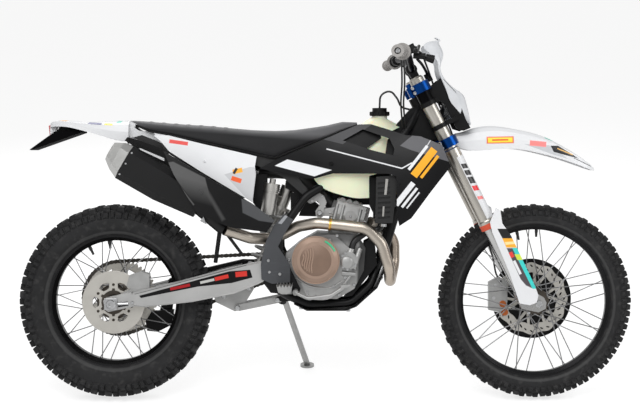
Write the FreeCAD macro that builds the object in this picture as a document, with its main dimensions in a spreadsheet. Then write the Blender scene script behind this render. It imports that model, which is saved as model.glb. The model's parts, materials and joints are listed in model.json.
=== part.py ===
import FreeCAD, Part
import Sketcher
import math
import os

# A trail motorcycle, parked on its side stand.
# The pieces are modelled upright in the bike's own frame: X forward, Y to the rider's left, Z up, with
# Z = 0 at the ground and X = 0 under the crankcase. The last step leans them all onto the stand and
# puts the origin on the ground below the middle of the parked outline. Sizes are in millimetres.

Vector = FreeCAD.Vector
Rotation = FreeCAD.Rotation
Placement = FreeCAD.Placement

SIZES = {
    # parking
    "lean_angle": 11,
    "origin_ahead": 0,
    "origin_left": 230,
    # running gaps
    "fit_gap": 0.3,
    "pin_gap": 0.05,
    "turn_gap": 5,
    # front wheel
    "front_tyre_radius": 345,
    "front_tyre_half": 46,
    "front_crown_half": 22,
    "front_lug": 12,
    "front_bead_radius": 268,
    "front_bead_half": 22,
    "front_rim_inner": 253,
    "front_hub_flange": 47,
    "front_hub_half": 44,
    "front_hub_barrel": 24,
    "front_disc_radius": 130,
    "front_disc_inboard": 41,
    "front_guard_radius": 140,
    # rear wheel
    "rear_tyre_radius": 343,
    "rear_tyre_half": 67,
    "rear_crown_half": 38,
    "rear_lug": 15,
    "rear_bead_radius": 230,
    "rear_bead_half": 29,
    "rear_rim_inner": 213,
    "rear_hub_flange": 62,
    "rear_hub_half": 50,
    "rear_hub_barrel": 34,
    "rear_disc_radius": 110,
    "rear_disc_offset": 74,
    # both wheels
    "tread_pitches": 22,
    "lug_length": 27,
    "rim_wall": 4,
    "hub_flange_wall": 6,
    "disc_wall": 4,
    "spoke_radius": 1.8,
    "spoke_count": 36,
    "axle_radius": 12.5,
    "axle_bore": 8,
    "front_axle_half": 122,
    "rear_axle_half": 134,
    # steering head and fork
    "head_x": 358,
    "head_z": 996,
    "rake_angle": 26.5,
    "clamp_offset": 22,
    "axle_lead": 33,
    "fork_half": 103,
    "clamp_span": 214,
    "clamp_height": 34,
    "clamp_wall": 11,
    "stem_radius": 14,
    "head_tube_radius": 27,
    "fork_top_radius": 25.5,
    "fork_outer_radius": 29,
    "fork_seal_radius": 31,
    "fork_outer_drop": 437,
    "fork_slider_radius": 24,
    # handlebar
    "bar_half": 405,
    "bar_ahead": 28,
    "bar_above_clamp": 72,
    "bar_pullback": 40,
    "bar_rise": 66,
    "bar_radius": 11,
    "bar_bore": 8,
    "grip_radius": 17,
    "grip_length": 125,
    # frame
    "pivot_x": -185,
    "pivot_z": 475,
    "spar_radius": 15,
    "spar_half": 46,
    "cross_radius": 12,
    "down_radius": 21,
    "cradle_radius": 14,
    "cradle_half": 52,
    "plate_wall": 8,
    "plate_half": 112,
    "guard_in": 115.2,
    "guard_wall": 6,
    # swingarm and chain
    "swingarm_length": 573,
    "swingarm_wall": 27,
    "swingarm_pivot_radius": 27,
    "chain_pitch": 15.875,
    "rear_teeth": 52,
    "front_teeth": 13,
    "chain_offset": 79,
    "chain_width": 17,
    "chain_height": 15,
    "sprocket_wall": 6,
    "sprocket_x": -112,
    "sprocket_z": 482,
    # engine
    "case_right": 78,
    "case_left": 66,
    "clutch_x": -34,
    "clutch_z": 503,
    "clutch_radius": 82,
    "clutch_out": 148,
    "ignition_x": 44,
    "ignition_z": 478,
    "ignition_radius": 62,
    "ignition_out": 122,
    "cylinder_lean": 14,
    "cylinder_half": 56,
    "head_half": 70,
    "hanger_in": 60,
    "hanger_wall": 6,
    # exhaust
    "header_radius": 20,
    "silencer_angle": 30,
    "silencer_length": 300,
    "silencer_height": 126,
    "silencer_width": 94,
    "silencer_side": 141,
    # body panels
    "panel_wall": 4,
    "seat_half": 108,
    # foot controls and stand
    "peg_x": -140,
    "peg_z": 410,
    "peg_length": 98,
    "peg_width": 54,
    "peg_height": 30,
    "stand_x": -155,
    "stand_z": 350,
    "stand_half": 128,
    "stand_radius": 11,
    "stand_knuckle_half": 12,
    "stand_cheek": 13,
    "stand_foot_ahead": 84,
    "stand_foot_side": 330,
    "stand_foot_wall": 8,
}


class Size(float):
    """A number that also knows the spreadsheet expression it comes from."""

    def __new__(cls, value, text=None):
        made = float.__new__(cls, value)
        made.text = text if text is not None else repr(float(value))
        return made

    def joined(self, other, sign, value, turned=False):
        text = other.text if isinstance(other, Size) else repr(float(other))
        first, second = (text, self.text) if turned else (self.text, text)
        return Size(value, "(%s %s %s)" % (first, sign, second))

    def __add__(self, other):
        return self.joined(other, "+", float(self) + float(other))

    def __radd__(self, other):
        return self.joined(other, "+", float(other) + float(self), True)

    def __sub__(self, other):
        return self.joined(other, "-", float(self) - float(other))

    def __rsub__(self, other):
        return self.joined(other, "-", float(other) - float(self), True)

    def __mul__(self, other):
        return self.joined(other, "*", float(self) * float(other))

    def __rmul__(self, other):
        return self.joined(other, "*", float(other) * float(self), True)

    def __truediv__(self, other):
        return self.joined(other, "/", float(self) / float(other))

    def __neg__(self):
        return Size(-float(self), "(0 - %s)" % self.text)


class Sheet:
    """Every driving dimension as an attribute, read from its spreadsheet cell."""


doc = FreeCAD.newDocument("trail_motorcycle")
cells = doc.addObject("Spreadsheet::Sheet", "sizes")
s = Sheet()
for row, (name, value) in enumerate(SIZES.items(), 1):
    cells.set("A%d" % row, name)
    cells.set("B%d" % row, str(value))
    cells.setAlias("B%d" % row, name)
    setattr(s, name, Size(value, "sizes." + name))
doc.recompute()

pieces = {}


# Derived places of the wheels, the steering and the swingarm

lean = math.radians(s.lean_angle)
rake = math.radians(s.rake_angle)
up = Vector(-math.sin(rake), 0, math.cos(rake))
ahead = Vector(math.cos(rake), 0, math.sin(rake))
head = Vector(s.head_x, 0, s.head_z)


def reach(radius, crown_half):
    """How far a leaned tyre reaches below its axle, measured straight down."""
    return radius * math.cos(lean) + crown_half * math.sin(lean)


front_axle_z = reach(s.front_tyre_radius, s.front_crown_half) / math.cos(lean)
rear_axle_z = reach(s.rear_tyre_radius, s.rear_crown_half) / math.cos(lean)
axle_ahead = s.clamp_offset + s.axle_lead
fork_length = (s.head_z + axle_ahead * math.sin(rake) - front_axle_z) / math.cos(rake)
front_axle = head + ahead * axle_ahead - up * fork_length
swing_angle = math.asin((s.pivot_z - rear_axle_z) / s.swingarm_length)
pivot = Vector(s.pivot_x, 0, s.pivot_z)
rear_axle = pivot + Vector(-math.cos(swing_angle), 0, -math.sin(swing_angle)) * s.swingarm_length

parked = Placement(Vector(-s.origin_ahead, -s.origin_left, 0), Rotation(Vector(1, 0, 0), -s.lean_angle))
steering_frame = Placement(head, Rotation(Vector(0, 1, 0), -s.rake_angle))
swingarm_frame = Placement(pivot, Rotation(Vector(0, 1, 0), -math.degrees(swing_angle)))
front_wheel_frame = Placement(front_axle, Rotation())
front_disc_offset = s.fork_half - s.front_disc_inboard
rear_wheel_frame = Placement(rear_axle, Rotation())


# Helpers that make document objects


def keep(label, item, frame=Placement()):
    """Names a finished sub-part, leans it with the rest of the bike and notes it for export."""
    item.Label = label
    item.Placement = parked.multiply(frame).multiply(item.Placement)
    pieces[label] = item
    return item


def shape_piece(name, shape):
    """A sub-part whose outline neither a body nor a primitive gives."""
    made = doc.addObject("Part::Feature", name)
    made.Shape = shape
    return made


def fused(name, items):
    made = doc.addObject("Part::MultiFuse", name)
    made.Shapes = items
    return made


def cut(name, base, tool):
    made = doc.addObject("Part::Cut", name)
    made.Base = base
    made.Tool = tool
    return made


def mirrored(name, item):
    """The same piece on the other side of the bike's middle plane."""
    made = doc.addObject("Part::Mirroring", name)
    made.Source = item
    made.Normal = Vector(0, 1, 0)
    return made


def compound(name, items):
    """Several solids that don't touch, kept as one sub-part."""
    made = doc.addObject("Part::Compound", name)
    made.Links = items
    return made


def both(name, item):
    return compound(name, [item, mirrored(name + "_other", item)])


def round_bar(name, radius, length, place):
    """A cylinder along the Z of its placement, bound to its cells."""
    made = doc.addObject("Part::Cylinder", name)
    made.setExpression("Radius", Size(radius).text if not isinstance(radius, Size) else radius.text)
    made.setExpression("Height", Size(length).text if not isinstance(length, Size) else length.text)
    made.Placement = place
    return made


def lateral(x, y, z):
    """A placement whose Z axis points to the bike's left, for what turns about a lateral axis."""
    return Placement(Vector(x, y, z), Rotation(Vector(1, 0, 0), -90))


def arc_centre(a, b, radius):
    """Centre of an arc from a to b, to the left of the chord for a positive radius."""
    dx, dy = b[0] - a[0], b[1] - a[1]
    chord = math.hypot(dx, dy)
    rise = math.sqrt(max(radius * radius - chord * chord / 4.0, 0.0))
    side = 1 if radius > 0 else -1
    return ((a[0] + b[0]) / 2 - side * rise * dy / chord, (a[1] + b[1]) / 2 + side * rise * dx / chord)


def drawn(body, name, points, plane="XY_Plane"):
    """A closed sketch through points, each coordinate bound to its cells. A point with a third value
    starts an arc of that radius, which bulges outwards on an outline that runs anticlockwise."""
    support = [f for f in body.Origin.OriginFeatures if f.Role == plane][0]
    sketch = body.newObject("Sketcher::SketchObject", name)
    sketch.AttachmentSupport = [(support, "")]
    sketch.MapMode = "FlatFace"
    count = len(points)
    starts = []
    for i, point in enumerate(points):
        after = points[(i + 1) % count]
        if len(point) > 2:
            cx, cy = arc_centre(point, after, point[2])
            circle = Part.Circle(Vector(cx, cy, 0), Vector(0, 0, 1), abs(point[2]))
            first, last = (point, after) if point[2] > 0 else (after, point)
            low = math.atan2(first[1] - cy, first[0] - cx)
            high = math.atan2(last[1] - cy, last[0] - cx)
            sketch.addGeometry(Part.ArcOfCircle(circle, low, high), False)
            starts.append(1 if point[2] > 0 else 2)
        else:
            line = Part.LineSegment(Vector(point[0], point[1], 0), Vector(after[0], after[1], 0))
            sketch.addGeometry(line, False)
            starts.append(1)
    for i in range(count):
        after = (i + 1) % count
        sketch.addConstraint(Sketcher.Constraint("Coincident", i, 3 - starts[i], after, starts[after]))
    for i, point in enumerate(points):
        for axis, value in (("X", point[0]), ("Y", point[1])):
            if abs(value) < 1e-9:
                line = -2 if axis == "X" else -1
                sketch.addConstraint(Sketcher.Constraint("PointOnObject", i, starts[i], line))
                continue
            rule = Sketcher.Constraint("Distance" + axis, -1, 1, i, starts[i], float(value))
            index = sketch.addConstraint(rule)
            if isinstance(value, Size):
                sketch.setExpression("Constraints[%d]" % index, value.text)
        if len(point) > 2:
            sketch.addConstraint(Sketcher.Constraint("Radius", i, float(abs(point[2]))))
    return sketch


def turned(name, points):
    """A body turned about its own Y axis. Each point is (radius, distance along the axis)."""
    body = doc.addObject("PartDesign::Body", name)
    sketch = drawn(body, name + "_profile", points)
    revolution = body.newObject("PartDesign::Revolution", name + "_turn")
    revolution.Profile = sketch
    revolution.ReferenceAxis = (sketch, ["V_Axis"])
    revolution.Angle = 360
    return body


def ring_body(name, radius, bore, thick):
    """A flat ring padded along its own Z axis, for discs, sprockets and covers."""
    body = doc.addObject("PartDesign::Body", name)
    plane = [f for f in body.Origin.OriginFeatures if f.Role == "XY_Plane"][0]
    sketch = body.newObject("Sketcher::SketchObject", name + "_outline")
    sketch.AttachmentSupport = [(plane, "")]
    sketch.MapMode = "FlatFace"
    for i, value in enumerate((radius, bore)):
        sketch.addGeometry(Part.Circle(Vector(), Vector(0, 0, 1), float(value)), False)
        sketch.addConstraint(Sketcher.Constraint("Coincident", i, 3, -1, 1))
        index = sketch.addConstraint(Sketcher.Constraint("Radius", i, float(value)))
        if isinstance(value, Size):
            sketch.setExpression("Constraints[%d]" % index, value.text)
    pad = body.newObject("PartDesign::Pad", name + "_pad")
    pad.Profile = sketch
    pad.setExpression("Length", thick.text)
    return body


def windows(body, name, points, count):
    """Cuts an outline through a padded body, repeated round its Z axis."""
    sketch = drawn(body, name, points)
    pocket = body.newObject("PartDesign::Pocket", name + "_cut")
    pocket.Profile = sketch
    pocket.Type = 1
    pocket.Midplane = True
    pattern = body.newObject("PartDesign::PolarPattern", name + "_pattern")
    pattern.Originals = [pocket]
    pattern.Axis = (sketch, ["N_Axis"])
    pattern.Angle = 360
    pattern.Occurrences = count
    body.Tip = pattern
    return body


# Helpers that make shapes


def flat(points, y):
    """A closed wire through (x, z) points in a plane across the bike's Y axis."""
    return Part.makePolygon([Vector(x, y, z) for x, z in points + points[:1]])


def slab(points, low, high):
    """An (x, z) outline extruded across the bike from y = low to y = high."""
    return Part.Face(flat(points, low)).extrude(Vector(0, high - low, 0))


def rounded_path(points, bend):
    """A wire of straight runs joined by tangent arcs, each as large as its runs allow up to bend."""
    edges, start = [], points[0]
    for i in range(1, len(points) - 1):
        before, corner, after = points[i - 1], points[i], points[i + 1]
        inward = (before - corner).normalize()
        onward = (after - corner).normalize()
        half = inward.getAngle(onward) / 2
        room = 0.45 * min((before - corner).Length, (after - corner).Length)
        back = min(bend / math.tan(half), room)
        radius = back * math.tan(half)
        middle = corner + (inward + onward).normalize() * (radius / math.sin(half) - radius)
        first, last = corner + inward * back, corner + onward * back
        edges.append(Part.LineSegment(start, first).toShape())
        edges.append(Part.Arc(first, middle, last).toShape())
        start = last
    edges.append(Part.LineSegment(start, points[-1]).toShape())
    return Part.Wire(edges)


def tube(points, radius, bend=60.0):
    """A round bar along a rounded path."""
    path = rounded_path(points, bend)
    circle = Part.Wire(Part.Circle(points[0], points[1] - points[0], float(radius)).toShape())
    return path.makePipeShell([circle], True, False)


def skin(grid, outline, thick, way):
    """A curved panel of even thickness: a smooth surface through rows of points, thickened along way
    and trimmed by an outline that is swept along way."""
    surface = Part.BSplineSurface()
    surface.interpolate(grid)
    sheet_solid = surface.toShape().extrude(way * float(thick))
    far = 1500.0
    corners = [p - way * far for p in outline]
    prism = Part.Face(Part.makePolygon(corners + corners[:1])).extrude(way * (2 * far))
    return sheet_solid.common(prism)


def side_skin(rows, outline, thick):
    """A side panel. Each row is (x, [(z, y), ...]) with y its outer face, given on the bike's left."""
    grid = [[Vector(x, y, z) for z, y in column] for x, column in rows]
    return skin(grid, [Vector(x, 0, z) for x, z in outline], thick, Vector(0, -1, 0))


def inset(points, wall):
    """An open outline moved to its right by a wall's thickness."""
    moved = []
    for i, (a, b) in enumerate(points):
        before, after = points[max(i - 1, 0)], points[min(i + 1, len(points) - 1)]
        run_a, run_b = after[0] - before[0], after[1] - before[1]
        run = math.hypot(run_a, run_b)
        moved.append((a + run_b / run * wall, b - run_a / run * wall))
    return moved


def moulding(stations, wall):
    """A thin curved shell. Each station is a list of points and the inner points behind them."""
    wires = []
    for outer, inner in stations:
        ring = outer + list(reversed(inner))
        wires.append(Part.makePolygon(ring + ring[:1]))
    return Part.makeLoft(wires, True, False)


def mudguard(stations, wall):
    """A mudguard from its stations along the bike: (x, top, half width, depth of its sides)."""
    rows = []
    for x, top, half, drop in stations:
        side = [(-half, top - drop), (-half * 0.98, top - drop * 0.55), (-half * 0.9, top - drop * 0.22),
                (-half * 0.6, top - drop * 0.08)]
        arch = side + [(0, top)] + [(-y, z) for y, z in reversed(side)]
        rows.append([[Vector(x, y, z) for y, z in line] for line in (arch, inset(arch, float(wall)))])
    return moulding(rows, wall)


def loft(sections):
    """A faceted solid through closed sections, each a list of points."""
    wires = [Part.makePolygon(points + points[:1]) for points in sections]
    return Part.makeLoft(wires, True, True)


def arched_loft(sections):
    """A smooth solid whose sections are each an arch of points closed by a straight foot."""
    wires = []
    for points in sections:
        curve = Part.BSplineCurve()
        curve.interpolate(points)
        foot = Part.LineSegment(points[-1], points[0])
        wires.append(Part.Wire([curve.toShape(), foot.toShape()]))
    return Part.makeLoft(wires, True, False)


def box_section(centre, along, side, width, height, corner, steps=1):
    """A rectangle across along, with side its width direction. Its corners are rounded in steps."""
    tall = along.cross(side).normalize()
    w, h = width / 2.0 - corner, height / 2.0 - corner
    flat_points = []
    for quarter, (a, b) in enumerate(((w, h), (-w, h), (-w, -h), (w, -h))):
        for i in range(steps + 1):
            turn = math.pi / 2 * (quarter + i / steps)
            flat_points.append((a + corner * math.cos(turn), b + corner * math.sin(turn)))
    return [centre + side * a + tall * b for a, b in flat_points]


def cylinder_between(a, b, radius):
    return Part.makeCylinder(float(radius), (b - a).Length, a, b - a)


# Wheels


def carcass_profile(radius, half, crown, bead_radius, bead_half, lug):
    """The outline of a tyre below its lugs, as (radius, distance) points."""
    shoulder = radius - half * 0.28 - lug * 0.8
    belly = bead_radius + (radius - bead_radius) * 0.45
    lip = bead_half - 0.5
    right = [
        (bead_radius, -lip),
        (bead_radius + 11, -lip),
        (belly, -(half - 5)),
        (shoulder, -(half - lug * 0.55)),
        (radius - lug, -(crown - 4)),
    ]
    return right + [(r, -y) for r, y in reversed(right)]


def faceted_ring(points, count):
    """A ring of flat facets round the Y axis. Each facet's middle lies at the outline's own radius, and the
    first faces straight down."""
    stretch = 1 / math.cos(math.pi / count)
    rings = []
    for i in range(count):
        turn = 2 * math.pi * (i - 0.5) / count - math.pi / 2
        rings.append([Vector(r * stretch * math.cos(turn), y, r * stretch * math.sin(turn)) for r, y in points])
    faces = []
    for i, here in enumerate(rings):
        there = rings[(i + 1) % count]
        for j in range(len(points)):
            k = (j + 1) % len(points)
            faces.append(Part.Face(Part.makePolygon([here[j], here[k], there[k], there[j], here[j]])))
    shell = Part.makeShell(faces)
    shell.sewShape()
    ring = Part.makeSolid(shell)
    if ring.Volume < 0:
        ring.reverse()
    return ring


def tread_lug(base, side, turn, tilt, width, height):
    """A block of tread, sunk a little into the carcass at a radius and a distance from the middle."""
    sunk = 4.0
    length = float(s.lug_length)
    block = Part.makeBox(height + sunk, width, length, Vector(-sunk, -width / 2, -length / 2))
    block.Placement = Placement(Vector(base, side, 0), Rotation(Vector(0, 0, 1), tilt))
    block.rotate(Vector(), Vector(0, 1, 0), 90 - turn)
    return block


def knobbly_tyre(name, radius, half, crown, bead_radius, bead_half, lug):
    """A faceted carcass whose facets carry a lug across the crown and a pair at the shoulders in turn."""
    radius, half, crown, lug = float(radius), float(half), float(crown), float(lug)
    points = carcass_profile(radius, half, crown, float(bead_radius), float(bead_half), lug)
    facets = 2 * int(s.tread_pitches)
    shoulder, top = points[3], points[4]
    slope = math.degrees(math.atan2(top[0] - shoulder[0], top[1] - shoulder[1]))
    base = (shoulder[0] + top[0]) / 2
    side = -(shoulder[1] + top[1]) / 2
    width = math.hypot(top[0] - shoulder[0], top[1] - shoulder[1]) - 3
    blocks = []
    for i in range(facets):
        turn = 360.0 * i / facets
        if i % 2 == 0:
            blocks.append(tread_lug(radius - lug, 0, turn, 0, 2 * crown, lug))
        else:
            for hand in (-1, 1):
                blocks.append(tread_lug(base, hand * side, turn, hand * slope, width, lug * 0.93))
    return shape_piece(name, faceted_ring(points, facets).fuse(blocks))


def rim_profile(bead_radius, bead_half, inner, wall):
    seat = bead_radius - 0.3
    return [
        (inner, -bead_half * 0.45),
        (seat - wall, -(bead_half - 3)),
        (seat - wall, -(bead_half + 2.5)),
        (seat + 10, -(bead_half + 2.5)),
        (seat + 10, -bead_half),
        (seat, -bead_half),
        (seat, -(bead_half - 5)),
        (inner + wall, -bead_half * 0.35),
        (inner + wall, bead_half * 0.35),
        (seat, bead_half - 5),
        (seat, bead_half),
        (seat + 10, bead_half),
        (seat + 10, bead_half + 2.5),
        (seat - wall, bead_half + 2.5),
        (seat - wall, bead_half - 3),
        (inner, bead_half * 0.45),
    ]


def hub_profile(barrel, flange, half, wall, bore, right_boss, left_boss):
    """The boss on each side ends at the given distance, against the disc or the sprocket it carries."""
    lip = flange - 8
    return [
        (bore, -right_boss),
        (lip, -right_boss),
        (lip, -half),
        (flange, -half),
        (flange, -(half - wall)),
        (barrel, -(half - wall - 8)),
        (barrel, half - wall - 8),
        (flange, half - wall),
        (flange, half),
        (lip, half),
        (lip, left_boss),
        (bore, left_boss),
    ]


def revolved(points):
    """The same outline as a turned body's, as a plain shape."""
    corners = [Vector(r, y, 0) for r, y in points]
    return Part.Face(Part.makePolygon(corners + corners[:1])).revolve(Vector(), Vector(0, 1, 0), 360)


def spokes(flange, half, wall, rim, hub, rim_inner, count):
    """Crossed spokes: four families, leading and trailing on each flange, trimmed by rim and hub."""
    bars = []
    trim = revolved(rim).fuse(revolved(hub))
    per_family = int(count) // 4
    step = 2 * math.pi / per_family
    root = flange - 4
    for side in (-1, 1):
        for turn in (-1, 1):
            for i in range(per_family):
                at = i * step + (step / 4 if side > 0 else 0) + (step / 2 if turn > 0 else 0)
                to = at + turn * 1.15
                y_root = side * (half - wall / 2 + turn * (wall / 2 + s.spoke_radius + 0.6))
                y_tip = side * (7 + turn * 2.5)
                a = Vector(root * math.cos(at), y_root, root * math.sin(at))
                b = Vector((rim_inner + 1) * math.cos(to), y_tip, (rim_inner + 1) * math.sin(to))
                bar = cylinder_between(a, b, s.spoke_radius).cut(trim)
                bars.append(max(bar.Solids, key=lambda solid: solid.Volume))
    return Part.makeCompound(bars)


def make_front_wheel():
    tyre = knobbly_tyre("front_tyre_body", s.front_tyre_radius, s.front_tyre_half, s.front_crown_half,
                        s.front_bead_radius, s.front_bead_half, s.front_lug)
    keep("front_tyre", tyre, front_wheel_frame)
    rim_points = rim_profile(s.front_bead_radius, s.front_bead_half, s.front_rim_inner, s.rim_wall)
    keep("front_rim", turned("front_rim_body", rim_points), front_wheel_frame)
    hub_points = hub_profile(
        s.front_hub_barrel, s.front_hub_flange, s.front_hub_half, s.hub_flange_wall,
        s.axle_radius + s.pin_gap, s.front_hub_half + 6, front_disc_offset - s.disc_wall / 2)
    keep("front_hub", turned("front_hub_body", hub_points), front_wheel_frame)
    keep("front_spokes", shape_piece("front_spoke_set", spokes(
        s.front_hub_flange, s.front_hub_half, s.hub_flange_wall, rim_points, hub_points, s.front_rim_inner,
        s.spoke_count)), front_wheel_frame)
    disc = ring_body("front_disc_body", s.front_disc_radius, s.front_hub_barrel, s.disc_wall)
    inner = s.front_hub_flange + 8
    outer = s.front_disc_radius - 30
    window = [(inner, -12), (outer, -24), (outer, 24), (inner, 12)]
    windows(disc, "front_disc_window", window, 6)
    keep("front_disc", disc, front_wheel_frame.multiply(lateral(0, front_disc_offset - s.disc_wall / 2, 0)))


def make_rear_wheel():
    tyre = knobbly_tyre("rear_tyre_body", s.rear_tyre_radius, s.rear_tyre_half, s.rear_crown_half,
                        s.rear_bead_radius, s.rear_bead_half, s.rear_lug)
    keep("rear_tyre", tyre, rear_wheel_frame)
    rim_points = rim_profile(s.rear_bead_radius, s.rear_bead_half, s.rear_rim_inner, s.rim_wall)
    keep("rear_rim", turned("rear_rim_body", rim_points), rear_wheel_frame)
    hub_points = hub_profile(
        s.rear_hub_barrel, s.rear_hub_flange, s.rear_hub_half, s.hub_flange_wall,
        s.axle_radius + s.pin_gap, s.rear_disc_offset - s.disc_wall / 2, s.rear_hub_half + 6)
    keep("rear_hub", turned("rear_hub_body", hub_points), rear_wheel_frame)
    keep("rear_spokes", shape_piece("rear_spoke_set", spokes(
        s.rear_hub_flange, s.rear_hub_half, s.hub_flange_wall, rim_points, hub_points, s.rear_rim_inner,
        s.spoke_count)), rear_wheel_frame)
    disc = ring_body("rear_disc_body", s.rear_disc_radius, s.axle_radius + 14, s.disc_wall)
    window = [(50, -9), (74, -15), (74, 15), (50, 9)]
    windows(disc, "rear_disc_window", window, 6)
    keep("rear_disc", disc, rear_wheel_frame.multiply(lateral(0, -(s.rear_disc_offset + s.disc_wall / 2), 0)))
    keep("rear_sprocket", make_sprocket(), rear_wheel_frame)


def pitch_radius(teeth):
    return s.chain_pitch / 2 / math.sin(math.pi / teeth)


def toothed(teeth, tip, root, y_low, y_high):
    """A toothed disc in the XZ plane."""
    points = []
    for i in range(int(teeth)):
        a = 2 * math.pi * i / teeth
        for share, radius in ((-0.5, root), (-0.16, tip), (0.16, tip)):
            b = a + share * 2 * math.pi / teeth
            points.append((radius * math.cos(b), radius * math.sin(b)))
    return slab(points, y_low, y_high)


def make_sprocket():
    pitch = pitch_radius(s.rear_teeth)
    low, high = s.chain_offset - s.sprocket_wall / 2, s.chain_offset + s.sprocket_wall / 2
    disc = toothed(s.rear_teeth, pitch + 4.5, pitch - 5, low, high)
    bore = Part.makeCylinder(s.axle_radius + 16, 60, Vector(0, 40, 0), Vector(0, 1, 0))
    disc = disc.cut(bore.fuse(Part.makeCylinder(s.axle_radius + 16, 60, Vector(0, 60, 0), Vector(0, 1, 0))))
    for i in range(6):
        turn = Rotation(Vector(0, 1, 0), 60 * i)
        hole = slab([(72, -12), (104, -26), (104, 26), (72, 12)], low - 5, high + 5)
        hole.Placement = Placement(Vector(), turn)
        disc = disc.cut(hole)
    carrier = Part.makeCylinder(s.rear_hub_flange, float(low) - float(s.rear_hub_half) - 6,
                                Vector(0, s.rear_hub_half + 6, 0), Vector(0, 1, 0))
    carrier = carrier.cut(Part.makeCylinder(s.axle_radius + 16, 80, Vector(0, 30, 0), Vector(0, 1, 0)))
    return shape_piece("rear_sprocket_shape", disc.fuse(carrier))


# Steering: fork, clamps, handlebar and what rides on them


def make_fork():
    top = s.clamp_span / 2 + s.clamp_height
    low = -s.fork_outer_drop
    step = -(s.clamp_span / 2 + s.clamp_height / 2 + 6)
    outer = turned("fork_outer_body", [
        (s.fork_slider_radius + s.fit_gap, low),
        (s.fork_seal_radius, low),
        (s.fork_seal_radius, low + 26),
        (s.fork_outer_radius, low + 30),
        (s.fork_outer_radius, step - 4),
        (s.fork_top_radius, step),
        (s.fork_top_radius, s.clamp_span / 2 + s.clamp_height),
        (s.fork_top_radius - 4, top + 6),
        (s.fork_slider_radius + s.fit_gap - 6, top + 6),
        (s.fork_slider_radius + s.fit_gap - 6, top - 20),
        (s.fork_slider_radius + s.fit_gap, top - 26),
    ])
    upright = Rotation(Vector(1, 0, 0), 90)
    outer.Placement = Placement(Vector(s.clamp_offset, s.fork_half, 0), upright)
    keep("fork_outer_tubes", both("fork_outers", outer), steering_frame)
    slider = round_bar("fork_slider_bar", s.fork_slider_radius, Size(fork_length - float(s.fork_outer_drop) + 60 - 34),
                       Placement(Vector(s.clamp_offset, s.fork_half, -(fork_length - 34)), Rotation()))
    lug = shape_piece("fork_lug", fork_lug())
    axle = turned("front_axle_body", [
        (s.axle_bore, -s.front_axle_half), (s.axle_radius, -s.front_axle_half),
        (s.axle_radius, s.front_axle_half), (s.axle_bore, s.front_axle_half)])
    axle.Placement = Placement(Vector(axle_ahead, 0, -fork_length), Rotation())
    leg = fused("fork_slider_side", [slider, lug])
    keep("fork_sliders", compound("fork_lower", [leg, mirrored("fork_slider_other", leg), axle]), steering_frame)


def fork_lug():
    """The cast foot of one fork leg, which clamps the axle ahead of the tube."""
    z = -fork_length
    half_in, half_out = s.fork_half - 25, s.fork_half + 16
    x0, x1 = float(s.clamp_offset), float(axle_ahead)
    foot = slab([(x0 - 27, z + 70), (x0 - 27, z + 10), (x1 - 14, z - 26), (x1 + 14, z - 26), (x1 + 26, z - 8),
                 (x1 + 26, z + 12), (x0 + 26, z + 60), (x0 + 26, z + 70)], half_in, half_out)
    bore = Part.makeCylinder(s.axle_radius + s.pin_gap, 80, Vector(x1, half_in - 20, z), Vector(0, 1, 0))
    return foot.cut(bore)


def clamp(z, tube_radius):
    """One fork clamp, with its bores for the tubes and the stem."""
    x, r = float(s.clamp_offset), tube_radius + float(s.clamp_wall)
    low = z - float(s.clamp_height) / 2
    height = float(s.clamp_height)
    y = float(s.fork_half)
    body = None
    for side in (-1, 1):
        ear = Part.makeCylinder(r, height, Vector(x, side * y, low))
        lug = Part.makeBox(18, 26, height, Vector(x - r - 10, side * y - 13, low))
        ear = ear.fuse(lug)
        body = ear if body is None else body.fuse(ear)
    points = [(x - 34, -30), (x - 34, 30), (x - 14, y), (x + 20, y), (x + 24, 0), (x + 20, -y), (x - 14, -y)]
    wire = Part.makePolygon([Vector(a, b, low + 4) for a, b in points + points[:1]])
    bridge = Part.Face(wire).extrude(Vector(0, 0, height - 8))
    body = body.fuse(bridge)
    for side in (-1, 1):
        body = body.cut(Part.makeCylinder(tube_radius + s.fit_gap, height + 20, Vector(x, side * y, low - 10)))
    return body


def make_clamps():
    top_z = float(s.clamp_span) / 2
    upper = clamp(top_z, float(s.fork_top_radius))
    lower = clamp(-top_z, float(s.fork_top_radius))
    length = s.clamp_span + s.clamp_height / 2 + 14
    stem = Part.makeCylinder(s.stem_radius, length, Vector(0, 0, -top_z))
    keep("triple_clamps", shape_piece("triple_clamp_shape", lower.fuse(stem).fuse(upper)), steering_frame)


def bar_points(side):
    """Centre line of one half of the handlebar, from its clamp to its end, in the steering frame."""
    x, z = float(s.bar_ahead), float(s.clamp_span / 2 + s.bar_above_clamp)
    back, rise, half = float(s.bar_pullback), float(s.bar_rise), float(s.bar_half)
    clamped = 78.0
    straight_from = half - float(s.grip_length) - 65
    return [
        Vector(x, 0, z),
        Vector(x, side * clamped, z),
        Vector(x + 6, side * (clamped + straight_from + 7) / 2, z + rise * 0.72),
        Vector(x - back * 0.2, side * straight_from, z + rise * 0.92),
        Vector(x - back, side * half, z + rise),
    ]


def bar_end(side):
    points = bar_points(side)
    return points[-2], points[-1]


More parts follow.
